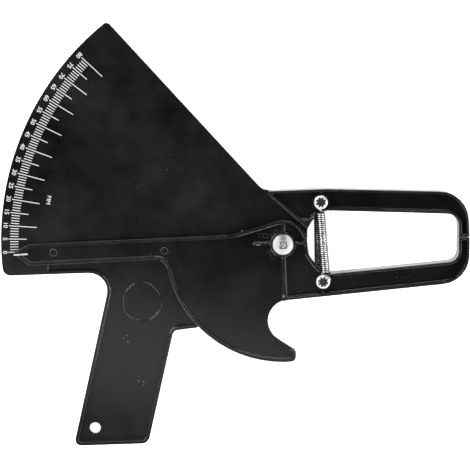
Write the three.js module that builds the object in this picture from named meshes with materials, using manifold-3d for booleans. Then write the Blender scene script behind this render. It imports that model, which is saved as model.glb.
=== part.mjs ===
// Skinfold caliper: two black injection mouldings on one riveted pivot, closed by two extension springs.
// Millimetres. The caliper lies on its back: X runs to the jaws, Y across them, Z up out of the scale face.
// The origin is on the pivot's axis, in the plane that the back rims lie in.
import * as THREE from 'three';
import { mergeVertices } from 'three/addons/utils/BufferGeometryUtils.js';
import Module from 'manifold-3d';

const wasm = await Module();
wasm.setup();

// Depth of the mouldings
const TOTAL_DEPTH = 15;
const LAYER_GAP = 0.3;
const FRAME_WALL = 2;
const GRIP_WALL = 2;
const LEVER_WALL = 1.8;
const TRIGGER_WALL = 2;
const TRIGGER_RECESS = 2.4;

// Rims and ribs, across their width
const HANDLE_RIM = 2;
const JAW_RIM = 1.6;
const LEVER_RIM = 2.1;
const HUB_RIB = 2;
const HUB_RIB_FOOT = 2.6;
const HUB_RIB_LEAN = 1.1;
const STUB_RIB = 1.5;
const STUB_RIB_HEIGHT = 0.6;
const STUB_RIB_REACH = 17;
const BACK_RIB = 1.6;
const BACK_RIB_SET_BACK = 1.2;
const SPINE_RIB = 2;

// Scale fan of the frame
const FAN_RADIUS = 162.57;
const FAN_CENTRE_X = -1.5;
const FAN_CENTRE_Y = 1.1;
const FAN_EDGE_OFFSET = 12.6;
const FAN_EDGE_ANGLE = 132.7;
const FAN_TIP_ROUND = 2.6;
const FAN_HEEL_ROUND = 4.6;
const FAN_FOOT_DROP = 13.32;
const FAN_FOOT_ANGLE = 1.97;
const FAN_BACK_RIBS = 3;

// Handle of the frame, as distances of its two long sides from the pivot
const HANDLE_BACK_OFFSET = 93.66;
const HANDLE_BACK_LEAN = 12.5;
const HANDLE_FRONT_OFFSET = 51;
const HANDLE_FRONT_LEAN = 12.62;
const HANDLE_FOOT_DROP = 115.25;
const HANDLE_FOOT_ANGLE = 1.8;
const HANDLE_THUMB_ROUND = 10.5;
const HANDLE_FOOT_ROUND_BACK = 3.4;
const HANDLE_FOOT_ROUND_FRONT = 5;
const GRIP_RECESS_START = -136.8;
const HANG_HOLE_RADIUS = 3.2;
const HANG_HOLE_INSET = 12.45;
const HANG_HOLE_HEIGHT = 10.3;
const NOTCH_DROP = 43.53;
const NOTCH_ANGLE = 6.64;
const NOTCH_END = -50.3;
const NOTCH_ROUND = 3.5;

// Jaws
const JAW_END = 108;
const UPPER_JAW_END_LEAN = 3;
const JAW_FACE_WIDTH = 6.25;
const JAW_FACE_HEIGHT = 4.5;
const JAW_FACE_GAP = 0.3;
const JAW_FACE_EDGE_ROUND = 0.5;
const UPPER_JAW_TOP = 32.95;
const UPPER_JAW_TOP_ANGLE = -1.22;
const UPPER_JAW_ROOT_ANGLE = 2.16;
const UPPER_JAW_CROWN_X = 25;
const UPPER_JAW_INSIDE = 20.55;
const UPPER_JAW_INSIDE_ANGLE = -1.5;
const UPPER_JAW_OUTER_ROUND = 17;
const UPPER_JAW_INNER_ROUND = 7;
const UPPER_JAW_ROOT_ROUND = 8;
const UPPER_CHANNEL_START = -8.6;
const BRACE_OFFSET = 16.4;
const BRACE_ANGLE = -40.7;
const LOWER_JAW_BOTTOM = 32.55;
const LOWER_JAW_BOTTOM_ANGLE = 5.89;
const LOWER_JAW_INSIDE = 19.65;
const LOWER_JAW_INSIDE_ANGLE = 5.76;
const LOWER_JAW_OUTER_ROUND = 16.8;
const LOWER_BACK_START_BOTTOM = 12.2;
const LOWER_JAW_INNER_ROUND = 6;
const MOUTH_BACK = 14.35;
const MOUTH_BACK_TOP = 8.35;
const MOUTH_BACK_TOP_ROUND = 10;
const MOUTH_BACK_BOTTOM_X = 15;
const MOUTH_BACK_BOTTOM = -6.5;
const MOUTH_BACK_BOTTOM_ROUND = 8;
const MOUTH_CORNER_X = 23.2;
const MOUTH_CORNER_ROUND = 10;

// Hub, pivot rivet and its washer
const HUB_RADIUS = 14.2;
const HUB_BOSS_RADIUS = 7.4;
const HUB_BOSS_TOP = 13.4;
const FRAME_BOSS_RADIUS = 8;
const RIVET_SHANK_RADIUS = 3;
const RIVET_HEAD_RADIUS = 6;
const RIVET_HEAD_EDGE = 1;
const RIVET_HEAD_CROWN = 0.9;
const RIVET_HEAD_SEAT_DEPTH = 1.3;
const RIVET_TAIL_RADIUS = 4.6;
const RIVET_TAIL_HEIGHT = 1.4;
const RIVET_TAIL_CHAMFER = 0.4;
const WASHER_RADIUS = 6.5;
const WASHER_THICKNESS = 1;

// Pointer arm and trigger of the lever
const POINTER_REACH = 156.8;
const POINTER_TIP_Y = -5.3;
const POINTER_TIP_ROUND = 0.6;
const POINTER_SHOULDER = 147.4;
const POINTER_SHOULDER_ROUND = 2;
const ARM_TOP_HEIGHT = 7.27;
const ARM_TOP_ANGLE = 2.82;
const ARM_ROOT_ANGLE = 16.9;
const ARM_ROOT_ROUND = 30;
const ARM_BOTTOM_DROP = 4.95;
const ARM_BOTTOM_ANGLE = 3;
const ARM_TAPER_START = 45;
const POINTER_TIP_THICKNESS = 1.5;
const POINTER_TIP_RIM = 0.6;
const TRIGGER_RADIUS = 68.5;
const TRIGGER_SHOULDER_ROUND = 7;
const HOOK_END = 7.7;
const HOOK_END_ROUND = 3;
const HOOK_POINT_ROUND = 1.6;
const HOOK_END_HEIGHT = 6.25;
const HOOK_TOP_ANGLE = -32.35;
const FINGER_RECESS_RADIUS = 12.4;
const TRIGGER_BACK_RIBS = 2;

// Springs and the screws that hold them
const UPPER_SCREW_X = 21.9;
const UPPER_SCREW_Y = 24.6;
const LOWER_SCREW_X = 23.3;
const LOWER_SCREW_Y = -21.75;
const SCREW_BOSS_RADIUS = 5.2;
const SCREW_HEAD_RADIUS = 4.05;
const SCREW_HEAD_EDGE = 1.5;
const SCREW_HEAD_CROWN = 0.7;
const SCREW_SHANK_RADIUS = 1.5;
const SCREW_SHANK_REACH = 3.9;
const SCREW_STAR_RADIUS = 2.5;
const SCREW_STAR_DEPTH = 1.2;
const SCREW_STAR_POINTS = 6;
const STAR_VALLEY = 0.55;
const WIRE_DIAMETER = 0.7;
const COIL_DIAMETER = 5.5;
const COIL_TURNS = 29.5;
const COIL_PITCH = 1.2;
const SPRING_LEVEL_OFFSET = 3.95;
const FRONT_COIL_TOP_X = 21.85;
const FRONT_COIL_BOTTOM_X = 24.75;
const REAR_COIL_TOP_X = 21.2;
const REAR_COIL_BOTTOM_X = 21.9;
const COIL_TOP_Y = 18.6;
const SPRING_LOOP_RADIUS = 3.6;
const SPRING_LOOP_SWEEP = 200;
const LEAD_REACH = 2.4;
const LEAD_BEND = 1.1;

// Clearances
const PIVOT_CLEARANCE = 0.1;
const SEAT_CLEARANCE = 0.1;
const COIL_ROOM = 0.4;
const LOOP_ROOM = 0.25;
const HEAD_ROOM = 0.25;
const SCREW_CLEARANCE = 0.1;
const SCREW_BLIND_END = 0.3;

// Fineness of curves
const ARC_STEP = 15 * THREE.MathUtils.DEG2RAD;
const ROUND_SIDES = 48;
const HOLE_SIDES = 24;
const DOME_STEPS = 4;
const SCREW_DOME_STEPS = 3;
const CURL_STEPS = 8;
const LOOP_STEPS = 24;
const LEAD_STEPS = 6;
const FAN_ARC_STEPS = 22;
const HUB_STEPS = 10;
const TRIGGER_STEPS = 16;
const WIRE_SIDES = 5;
const POCKET_ROUND = 0.6;

// Reach of a cutting solid past what it cuts, and the smallest sizes that still count
const BEYOND = 5;
const far = 2 * FAN_RADIUS;
const MERGE_DISTANCE = 1e-5;
const LEAST_CUT = 0.01;
const SHARED_SIDE = 0.99;
const NEAR_TURN = 0.001;
const NEIGHBOURING_WIRE = 4;
const GAP_FINENESS = 5;

// Levels that follow from the sizes
const middle = TOTAL_DEPTH / 2;
const frameFace = middle - LAYER_GAP / 2;
const leverBack = middle + LAYER_GAP / 2;
const frameWallBack = frameFace - FRAME_WALL;
const gripFace = (frameFace + GRIP_WALL) / 2;
const gripBack = gripFace - GRIP_WALL;
const leverWebTop = leverBack + LEVER_WALL;
const triggerFace = TOTAL_DEPTH - TRIGGER_RECESS;
const triggerWallBack = triggerFace - TRIGGER_WALL;
const springLevel = middle + SPRING_LEVEL_OFFSET;
const coilOuter = COIL_DIAMETER / 2;
const bossTop = springLevel - WIRE_DIAMETER / 2 - LOOP_ROOM;
const headSeat = springLevel + WIRE_DIAMETER / 2 + LOOP_ROOM;
const coilRoomFloor = springLevel - coilOuter - COIL_ROOM;
const screwBite = SCREW_SHANK_REACH - (headSeat - bossTop);
const frameBossBack = RIVET_TAIL_HEIGHT + WASHER_THICKNESS + 2 * SEAT_CLEARANCE;
const rivetHeadSeat = HUB_BOSS_TOP - RIVET_HEAD_SEAT_DEPTH + SEAT_CLEARANCE;

const corner = (x, y, round = 0) => ({ x, y, round });
const radians = (degrees) => degrees * THREE.MathUtils.DEG2RAD;

// A straight line through a point, at an angle in degrees from +X
const line = (x, y, angle) => ({ x, y, dx: Math.cos(radians(angle)), dy: Math.sin(radians(angle)) });

function heightAt(side, x) {
  return side.y + ((x - side.x) * side.dy) / side.dx;
}

// The place where two lines cross, as a corner
function crossing(a, b, round = 0) {
  const turn = a.dx * b.dy - a.dy * b.dx;
  const along = ((b.x - a.x) * b.dy - (b.y - a.y) * b.dx) / turn;
  return corner(a.x + a.dx * along, a.y + a.dy * along, round);
}

// The place where a line, followed forwards, leaves a circle
function leavesCircle(side, centreX, centreY, radius, round = 0) {
  const x = side.x - centreX;
  const y = side.y - centreY;
  const half = x * side.dx + y * side.dy;
  const along = Math.sqrt(half * half - (x * x + y * y - radius * radius)) - half;
  return corner(side.x + side.dx * along, side.y + side.dy * along, round);
}

const angleOf = (point, centreX = 0, centreY = 0) =>
  THREE.MathUtils.RAD2DEG * Math.atan2(point.y - centreY, point.x - centreX);

// Corners along a circle from one angle to another, both ends left out on request
function arcCorners(centreX, centreY, radius, from, to, steps, ends = true) {
  const list = [];
  for (let i = ends ? 0 : 1; i <= (ends ? steps : steps - 1); i += 1) {
    const angle = radians(from + ((to - from) * i) / steps);
    list.push(corner(centreX + radius * Math.cos(angle), centreY + radius * Math.sin(angle)));
  }
  return list;
}

function sideDirection(outline, i) {
  const here = outline.at(i);
  const next = outline[(i + 1 + outline.length) % outline.length];
  return new THREE.Vector2(next.x - here.x, next.y - here.y).normalize();
}

// Moves every side of a counter-clockwise outline inwards, and keeps its roundings concentric.
// A side that is too short to be moved in drops out.
function inset(outline, distance) {
  const sides = outline.map((here, i) => {
    const out = sideDirection(outline, i);
    return { here, x: here.x - out.y * distance, y: here.y + out.x * distance, dx: out.x, dy: out.y };
  });
  for (;;) {
    const corners = sides.map((side, i) => {
      const before = sides.at(i - 1);
      const turn = Math.sign(before.dx * side.dy - before.dy * side.dx);
      const round = side.here.round > 0 ? Math.max(POCKET_ROUND, side.here.round - turn * distance) : 0;
      return { ...crossing(before, side, round), from: side.here };
    });
    const turnedBack = corners.findIndex((here, i) => {
      const next = corners[(i + 1) % corners.length];
      return (next.x - here.x) * sides[i].dx + (next.y - here.y) * sides[i].dy <= 0;
    });
    if (turnedBack < 0) return corners;
    sides.splice(turnedBack, 1);
  }
}

// Points of an outline with its corners rounded, two neighbours sharing the side between them
function roundedPoints(outline) {
  const count = outline.length;
  const corners = outline.map((here, i) => {
    const into = sideDirection(outline, i - 1);
    const out = sideDirection(outline, i);
    const turn = Math.atan2(into.cross(out), into.dot(out));
    return { here, into, out, turn, cut: here.round * Math.tan(Math.abs(turn) / 2) };
  });
  corners.forEach((first, i) => {
    const second = corners[(i + 1) % count];
    const length = Math.hypot(second.here.x - first.here.x, second.here.y - first.here.y);
    const share = Math.min(1, (SHARED_SIDE * length) / Math.max(first.cut + second.cut, MERGE_DISTANCE));
    first.cut *= share;
    second.cut *= share;
  });
  const points = [];
  for (const { here, into, out, turn, cut } of corners) {
    if (cut < LEAST_CUT) {
      points.push(new THREE.Vector2(here.x, here.y));
      continue;
    }
    const radius = (cut / Math.tan(Math.abs(turn) / 2)) * Math.sign(turn);
    const start = new THREE.Vector2(here.x - into.x * cut, here.y - into.y * cut);
    const centre = new THREE.Vector2(start.x - into.y * radius, start.y + into.x * radius);
    const steps = Math.max(2, Math.ceil(Math.abs(turn) / ARC_STEP));
    for (let i = 0; i <= steps; i += 1) {
      points.push(start.clone().rotateAround(centre, (turn * i) / steps));
    }
  }
  return points;
}

// A closed geometry as a solid that can be joined and cut
function solidOf(geometry) {
  const bare = new THREE.BufferGeometry();
  bare.setAttribute('position', geometry.getAttribute('position'));
  bare.setIndex(geometry.getIndex());
  const merged = mergeVertices(bare, MERGE_DISTANCE);
  const index = merged.getIndex().array;
  const kept = [];
  for (let i = 0; i < index.length; i += 3) {
    const [a, b, c] = [index[i], index[i + 1], index[i + 2]];
    if (a !== b && b !== c && c !== a) kept.push(a, b, c);
  }
  const vertProperties = Float32Array.from(merged.getAttribute('position').array);
  return new wasm.Manifold(new wasm.Mesh({ numProp: 3, vertProperties, triVerts: Uint32Array.from(kept) }));
}

function geometryOf(solid) {
  const mesh = solid.getMesh();
  const geometry = new THREE.BufferGeometry();
  geometry.setAttribute('position', new THREE.BufferAttribute(mesh.vertProperties, 3));
  geometry.setIndex(new THREE.BufferAttribute(mesh.triVerts, 1));
  const faceted = geometry.toNonIndexed();
  faceted.computeVertexNormals();
  return faceted;
}

// An outline in the plane of the caliper, standing between two levels
function prism(outline, low, high) {
  const shape = new THREE.Shape(roundedPoints(outline));
  const geometry = new THREE.ExtrudeGeometry(shape, { depth: high - low, bevelEnabled: false });
  geometry.translate(0, 0, low);
  return solidOf(geometry);
}

// A profile drawn in X and Z, running across the whole caliper in Y
function crossCut(profile) {
  const shape = new THREE.Shape(profile.map(([x, z]) => new THREE.Vector2(x, z)));
  const geometry = new THREE.ExtrudeGeometry(shape, { depth: 2 * far, bevelEnabled: false });
  geometry.rotateX(Math.PI / 2);
  geometry.translate(0, far, 0);
  return solidOf(geometry);
}

function disc(x, y, radius, low, high, sides = ROUND_SIDES) {
  const geometry = new THREE.CylinderGeometry(radius, radius, high - low, sides);
  geometry.rotateX(Math.PI / 2);
  geometry.translate(x, y, (low + high) / 2);
  return solidOf(geometry);
}

// A bar between two points, with its own width at each end
function bar(x0, y0, x1, y1, width0, width1, low, high) {
  const length = Math.hypot(x1 - x0, y1 - y0);
  const nx = -(y1 - y0) / length / 2;
  const ny = (x1 - x0) / length / 2;
  const outline = [
    corner(x0 - nx * width0, y0 - ny * width0),
    corner(x1 - nx * width1, y1 - ny * width1),
    corner(x1 + nx * width1, y1 + ny * width1),
    corner(x0 + nx * width0, y0 + ny * width0),
  ];
  return prism(outline, low, high);
}

// A profile of radius and level turned about an upright axis
function turned(profile, sides = ROUND_SIDES) {
  const points = profile.map(([radius, level]) => new THREE.Vector2(radius, level));
  const geometry = new THREE.LatheGeometry(points, sides);
  geometry.rotateX(Math.PI / 2);
  return geometry;
}

// Lines that the outlines of both mouldings are drawn from
const fanEdge = line(
  FAN_EDGE_OFFSET * Math.cos(radians(FAN_EDGE_ANGLE - 90)),
  FAN_EDGE_OFFSET * Math.sin(radians(FAN_EDGE_ANGLE - 90)),
  FAN_EDGE_ANGLE,
);
const fanFoot = line(0, -FAN_FOOT_DROP, FAN_FOOT_ANGLE);
const handleBack = line(
  -HANDLE_BACK_OFFSET * Math.cos(radians(HANDLE_BACK_LEAN)),
  HANDLE_BACK_OFFSET * Math.sin(radians(HANDLE_BACK_LEAN)),
  -90 - HANDLE_BACK_LEAN,
);
const handleFront = line(
  -HANDLE_FRONT_OFFSET * Math.cos(radians(HANDLE_FRONT_LEAN)),
  HANDLE_FRONT_OFFSET * Math.sin(radians(HANDLE_FRONT_LEAN)),
  90 - HANDLE_FRONT_LEAN,
);
const handleFoot = line(0, -HANDLE_FOOT_DROP, HANDLE_FOOT_ANGLE);
const notch = line(0, -NOTCH_DROP, NOTCH_ANGLE);
const jawEndSide = line(JAW_END, 0, 90);
const upperJawEndSide = line(JAW_END, JAW_FACE_HEIGHT, 90 + UPPER_JAW_END_LEAN);
const jawMouthSide = line(JAW_END - JAW_FACE_WIDTH, 0, 90);
const upperJawInside = line(0, UPPER_JAW_INSIDE, UPPER_JAW_INSIDE_ANGLE);
const upperJawTop = line(0, UPPER_JAW_TOP, UPPER_JAW_TOP_ANGLE);
const crownHeight = heightAt(upperJawTop, UPPER_JAW_CROWN_X);
const upperJawRoot = line(UPPER_JAW_CROWN_X, crownHeight, UPPER_JAW_ROOT_ANGLE);
const brace = line(
  BRACE_OFFSET * Math.cos(radians(BRACE_ANGLE + 90)),
  BRACE_OFFSET * Math.sin(radians(BRACE_ANGLE + 90)),
  BRACE_ANGLE,
);
const channelStart = line(UPPER_CHANNEL_START, 0, 90);
const mouthBack = line(MOUTH_BACK, 0, 90);
const lowerJawBottom = line(0, -LOWER_JAW_BOTTOM, LOWER_JAW_BOTTOM_ANGLE);
const lowerJawInside = line(0, -LOWER_JAW_INSIDE, LOWER_JAW_INSIDE_ANGLE);
const armTop = line(0, ARM_TOP_HEIGHT, ARM_TOP_ANGLE);
const armRootTouch = 90 + ARM_ROOT_ANGLE;
const armRoot = line(
  HUB_RADIUS * Math.cos(radians(armRootTouch)),
  HUB_RADIUS * Math.sin(radians(armRootTouch)),
  ARM_ROOT_ANGLE,
);
const armBottomBackwards = line(0, -ARM_BOTTOM_DROP, ARM_BOTTOM_ANGLE + 180);
const hookEndDown = line(HOOK_END, 0, -90);

// Upper jaw, from the pivot's side of the opening round the tip to the crown
const upperJawCorners = [
  corner(MOUTH_BACK, MOUTH_BACK_TOP, MOUTH_BACK_TOP_ROUND),
  corner(MOUTH_CORNER_X, heightAt(upperJawInside, MOUTH_CORNER_X), MOUTH_CORNER_ROUND),
  crossing(upperJawInside, jawMouthSide, UPPER_JAW_INNER_ROUND),
  corner(JAW_END - JAW_FACE_WIDTH, JAW_FACE_HEIGHT + JAW_FACE_GAP / 2, JAW_FACE_EDGE_ROUND),
  corner(JAW_END, JAW_FACE_HEIGHT + JAW_FACE_GAP / 2, JAW_FACE_EDGE_ROUND),
  crossing(upperJawTop, upperJawEndSide, UPPER_JAW_OUTER_ROUND),
  corner(UPPER_JAW_CROWN_X, crownHeight),
];

// Whole frame: fan, handle and upper jaw
const fanTip = leavesCircle(fanEdge, FAN_CENTRE_X, FAN_CENTRE_Y, FAN_RADIUS, FAN_TIP_ROUND);
const fanFootBackwards = line(0, -FAN_FOOT_DROP, FAN_FOOT_ANGLE + 180);
const fanHeel = leavesCircle(fanFootBackwards, FAN_CENTRE_X, FAN_CENTRE_Y, FAN_RADIUS, FAN_HEEL_ROUND);
const fanArc = arcCorners(
  FAN_CENTRE_X,
  FAN_CENTRE_Y,
  FAN_RADIUS,
  angleOf(fanTip, FAN_CENTRE_X, FAN_CENTRE_Y),
  angleOf(fanHeel, FAN_CENTRE_X, FAN_CENTRE_Y) + 360,
  FAN_ARC_STEPS,
  false,
);
const handleCorners = [
  crossing(fanFoot, handleBack, HANDLE_THUMB_ROUND),
  crossing(handleBack, handleFoot, HANDLE_FOOT_ROUND_BACK),
  crossing(handleFoot, handleFront, HANDLE_FOOT_ROUND_FRONT),
  crossing(handleFront, notch, NOTCH_ROUND),
  corner(NOTCH_END, heightAt(notch, NOTCH_END), NOTCH_ROUND),
];
const notchEnd = handleCorners.at(-1);
const underHubTouch =
  angleOf(notchEnd) + THREE.MathUtils.RAD2DEG * Math.acos(HUB_RADIUS / Math.hypot(notchEnd.x, notchEnd.y));
const underHub = arcCorners(0, 0, HUB_RADIUS, underHubTouch, 0, HUB_STEPS / 2);
const fanRoot = crossing(upperJawRoot, fanEdge, UPPER_JAW_ROOT_ROUND);
const frameOutline = [
  fanTip,
  ...fanArc,
  fanHeel,
  ...handleCorners,
  ...underHub,
  ...upperJawCorners,
  fanRoot,
];

// Channel of the upper jaw, closed towards the hub by its brace
const upperChannelOutline = [
  crossing(channelStart, brace, JAW_FACE_EDGE_ROUND),
  crossing(mouthBack, brace),
  ...upperJawCorners,
  corner(UPPER_CHANNEL_START, heightAt(upperJawRoot, UPPER_CHANNEL_START), JAW_FACE_EDGE_ROUND),
];

// The spine under the resting pointer parts the hollow behind the fan from the hollows of the grip
const spineStart = corner(GRIP_RECESS_START - HANDLE_RIM, POINTER_TIP_Y);
const spineShift = HANDLE_RIM - SPINE_RIB / 2;
const fanHollowOutline = [
  fanTip,
  ...fanArc,
  fanHeel,
  corner(spineStart.x + 2 * spineShift, heightAt(fanFoot, spineStart.x + 2 * spineShift)),
  corner(spineStart.x + 2 * spineShift, spineStart.y - spineShift),
  corner(MOUTH_BACK, -spineShift),
  crossing(mouthBack, brace),
  crossing(channelStart, brace),
  corner(UPPER_CHANNEL_START, heightAt(upperJawRoot, UPPER_CHANNEL_START)),
  fanRoot,
];
const gripOutline = [
  corner(spineStart.x, spineStart.y + spineShift),
  corner(spineStart.x, heightAt(fanFoot, spineStart.x)),
  ...handleCorners,
  ...underHub,
  corner(HUB_RADIUS, spineShift),
];

// Whole lever: pointer arm, hub, trigger and lower jaw
const triggerShoulder = leavesCircle(armBottomBackwards, 0, 0, TRIGGER_RADIUS, TRIGGER_SHOULDER_ROUND);
const hookEndCorner = leavesCircle(hookEndDown, 0, 0, TRIGGER_RADIUS, HOOK_END_ROUND);
const triggerBack = arcCorners(
  0,
  0,
  TRIGGER_RADIUS,
  angleOf(triggerShoulder),
  angleOf(hookEndCorner),
  TRIGGER_STEPS,
  false,
);
const hookTop = line(HOOK_END, hookEndCorner.y + HOOK_END_HEIGHT, HOOK_TOP_ANGLE);
const fingerRecess = crossing(hookTop, lowerJawBottom, FINGER_RECESS_RADIUS);
const hookPoint = corner(hookTop.x, hookTop.y, HOOK_POINT_ROUND);
const lowerJawCorners = [
  crossing(lowerJawBottom, jawEndSide, LOWER_JAW_OUTER_ROUND),
  corner(JAW_END, JAW_FACE_HEIGHT - JAW_FACE_GAP / 2, JAW_FACE_EDGE_ROUND),
  corner(JAW_END - JAW_FACE_WIDTH, JAW_FACE_HEIGHT - JAW_FACE_GAP / 2, JAW_FACE_EDGE_ROUND),
  crossing(lowerJawInside, jawMouthSide, LOWER_JAW_INNER_ROUND),
  corner(MOUTH_CORNER_X, heightAt(lowerJawInside, MOUTH_CORNER_X), MOUTH_CORNER_ROUND),
];
const leverOutline = [
  corner(-POINTER_REACH, POINTER_TIP_Y, POINTER_TIP_ROUND),
  corner(-POINTER_SHOULDER, heightAt(armBottomBackwards, -POINTER_SHOULDER), POINTER_SHOULDER_ROUND),
  triggerShoulder,
  ...triggerBack,
  hookEndCorner,
  hookPoint,
  fingerRecess,
  ...lowerJawCorners,
  corner(MOUTH_BACK_BOTTOM_X, MOUTH_BACK_BOTTOM, MOUTH_BACK_BOTTOM_ROUND),
  ...arcCorners(0, 0, HUB_RADIUS, 0, armRootTouch, HUB_STEPS),
  crossing(armRoot, armTop, ARM_ROOT_ROUND),
  corner(-POINTER_SHOULDER, heightAt(armTop, -POINTER_SHOULDER), POINTER_SHOULDER_ROUND),
];
const lowerJawBackOutline = [
  corner(LOWER_BACK_START_BOTTOM, heightAt(lowerJawBottom, LOWER_BACK_START_BOTTOM)),
  ...lowerJawCorners,
  corner(MOUTH_BACK_BOTTOM_X, MOUTH_BACK_BOTTOM),
];

// The level that is as far above the back as a level is below the front
const mirrored = (level) => TOTAL_DEPTH - level;

// Axis of each coil: where it starts, and its direction towards the lower jaw
function coilAxis(topX, bottomX) {
  const length = COIL_TURNS * COIL_PITCH;
  const dx = (bottomX - topX) / length;
  const along = new THREE.Vector3(dx, -Math.sqrt(1 - dx * dx), 0);
  const start = new THREE.Vector3(topX, COIL_TOP_Y, 0);
  return { start, along, end: start.clone().addScaledVector(along, length) };
}
const frontCoil = coilAxis(FRONT_COIL_TOP_X, FRONT_COIL_BOTTOM_X);
const rearCoil = coilAxis(REAR_COIL_TOP_X, REAR_COIL_BOTTOM_X);

// What the springs and their screws need cut out of the moulding that carries a screw
function springRoom(screwX, screwY, end) {
  const coilWidth = COIL_DIAMETER + 2 * COIL_ROOM;
  const loopWidth = 2 * SPRING_LOOP_RADIUS + WIRE_DIAMETER + 2 * COIL_ROOM;
  const rooms = [];
  for (const [coil, low, seat, high] of [
    [frontCoil, coilRoomFloor, bossTop, TOTAL_DEPTH + BEYOND],
    [rearCoil, mirrored(coilRoomFloor), mirrored(bossTop), -BEYOND],
  ]) {
    const from = coil.start.clone().addScaledVector(coil.along, -COIL_ROOM - WIRE_DIAMETER / 2);
    const to = coil.end.clone().addScaledVector(coil.along, COIL_ROOM + WIRE_DIAMETER / 2);
    const near = coil[end];
    rooms.push(
      bar(from.x, from.y, to.x, to.y, coilWidth, coilWidth, Math.min(low, high), Math.max(low, high)),
      bar(near.x, near.y, screwX, screwY, loopWidth, loopWidth, Math.min(seat, high), Math.max(seat, high)),
      disc(screwX, screwY, SCREW_BOSS_RADIUS, Math.min(seat, high), Math.max(seat, high)),
    );
    const bottom = seat - Math.sign(high - seat) * (screwBite + SCREW_BLIND_END);
    const radius = SCREW_SHANK_RADIUS + SCREW_CLEARANCE;
    rooms.push(disc(screwX, screwY, radius, Math.min(bottom, high), Math.max(bottom, high), HOLE_SIDES));
  }
  return wasm.Manifold.union(rooms);
}

// The trigger's side of the rib below the hub, and everything below the lower jaw
const ribFoot = -LOWER_JAW_BOTTOM;
const ribSlope = HUB_RIB_LEAN / ribFoot;
const belowJaw = ribFoot - FINGER_RECESS_RADIUS;
const triggerSide = prism(
  [
    corner(-far, -far),
    corner(far, -far),
    corner(far, belowJaw),
    corner(belowJaw * ribSlope, belowJaw),
    corner(far * ribSlope, far),
    corner(-far, far),
  ],
  -BEYOND,
  TOTAL_DEPTH + BEYOND,
);

function hubRibs() {
  const high = TOTAL_DEPTH + BEYOND;
  return wasm.Manifold.union([
    bar(0, 0, 0, HUB_RADIUS, HUB_RIB, HUB_RIB, 0, high),
    bar(0, 0, HUB_RIB_LEAN, ribFoot, HUB_RIB, HUB_RIB_FOOT, 0, high),
    bar(0, STUB_RIB_HEIGHT, HUB_RADIUS, STUB_RIB_HEIGHT, STUB_RIB, STUB_RIB, 0, high),
    bar(0, STUB_RIB_HEIGHT, -STUB_RIB_REACH, STUB_RIB_HEIGHT, STUB_RIB, STUB_RIB, 0, high),
  ]);
}

function makeFrame() {
  const low = -BEYOND;
  const high = TOTAL_DEPTH + BEYOND;
  const bodyBlock = prism(frameOutline, 0, frameFace);
  const channelBlock = prism(upperChannelOutline, frameWallBack, TOTAL_DEPTH);
  const boss = disc(0, 0, FRAME_BOSS_RADIUS, low, TOTAL_DEPTH);
  const screwSeat = wasm.Manifold.union([
    disc(UPPER_SCREW_X, UPPER_SCREW_Y, SCREW_BOSS_RADIUS, low, high),
    bar(UPPER_SCREW_X, UPPER_SCREW_Y, UPPER_SCREW_X, UPPER_JAW_TOP, STUB_RIB, STUB_RIB, low, high),
  ]);

  const channel = inset(upperChannelOutline, JAW_RIM);
  const channels = prism(channel, frameFace, high).add(prism(channel, low, frameWallBack));

  const hubToArc = FAN_RADIUS + BEYOND;
  const backRibs = [];
  for (let i = 1; i <= FAN_BACK_RIBS; i += 1) {
    const angle = radians(FAN_EDGE_ANGLE + ((180 - FAN_EDGE_ANGLE) * i) / (FAN_BACK_RIBS + 1));
    const x = hubToArc * Math.cos(angle);
    const y = hubToArc * Math.sin(angle);
    backRibs.push(bar(0, 0, x, y, BACK_RIB, BACK_RIB, BACK_RIB_SET_BACK, frameWallBack + BEYOND));
  }
  const fanHollow = prism(inset(fanHollowOutline, HANDLE_RIM), low, frameWallBack)
    .subtract(wasm.Manifold.union(backRibs))
    .subtract(boss);
  const grip = inset(gripOutline, HANDLE_RIM);
  const gripHollows = prism(grip, gripFace, high).add(prism(grip, low, gripBack)).subtract(boss);

  const holeX = crossing(handleBack, handleFoot);
  const hangHole = disc(
    holeX.x + HANG_HOLE_INSET,
    holeX.y + HANG_HOLE_HEIGHT,
    HANG_HOLE_RADIUS,
    low,
    TOTAL_DEPTH,
    HOLE_SIDES,
  );
  return bodyBlock
    .add(channelBlock)
    .subtract(channels.subtract(screwSeat))
    .subtract(fanHollow)
    .subtract(gripHollows)
    .subtract(disc(0, 0, FRAME_BOSS_RADIUS + SEAT_CLEARANCE, low, frameBossBack))
    .subtract(disc(0, 0, RIVET_SHANK_RADIUS + PIVOT_CLEARANCE, low, TOTAL_DEPTH))
    .subtract(hangHole)
    .subtract(springRoom(UPPER_SCREW_X, UPPER_SCREW_Y, 'start'));
}

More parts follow.
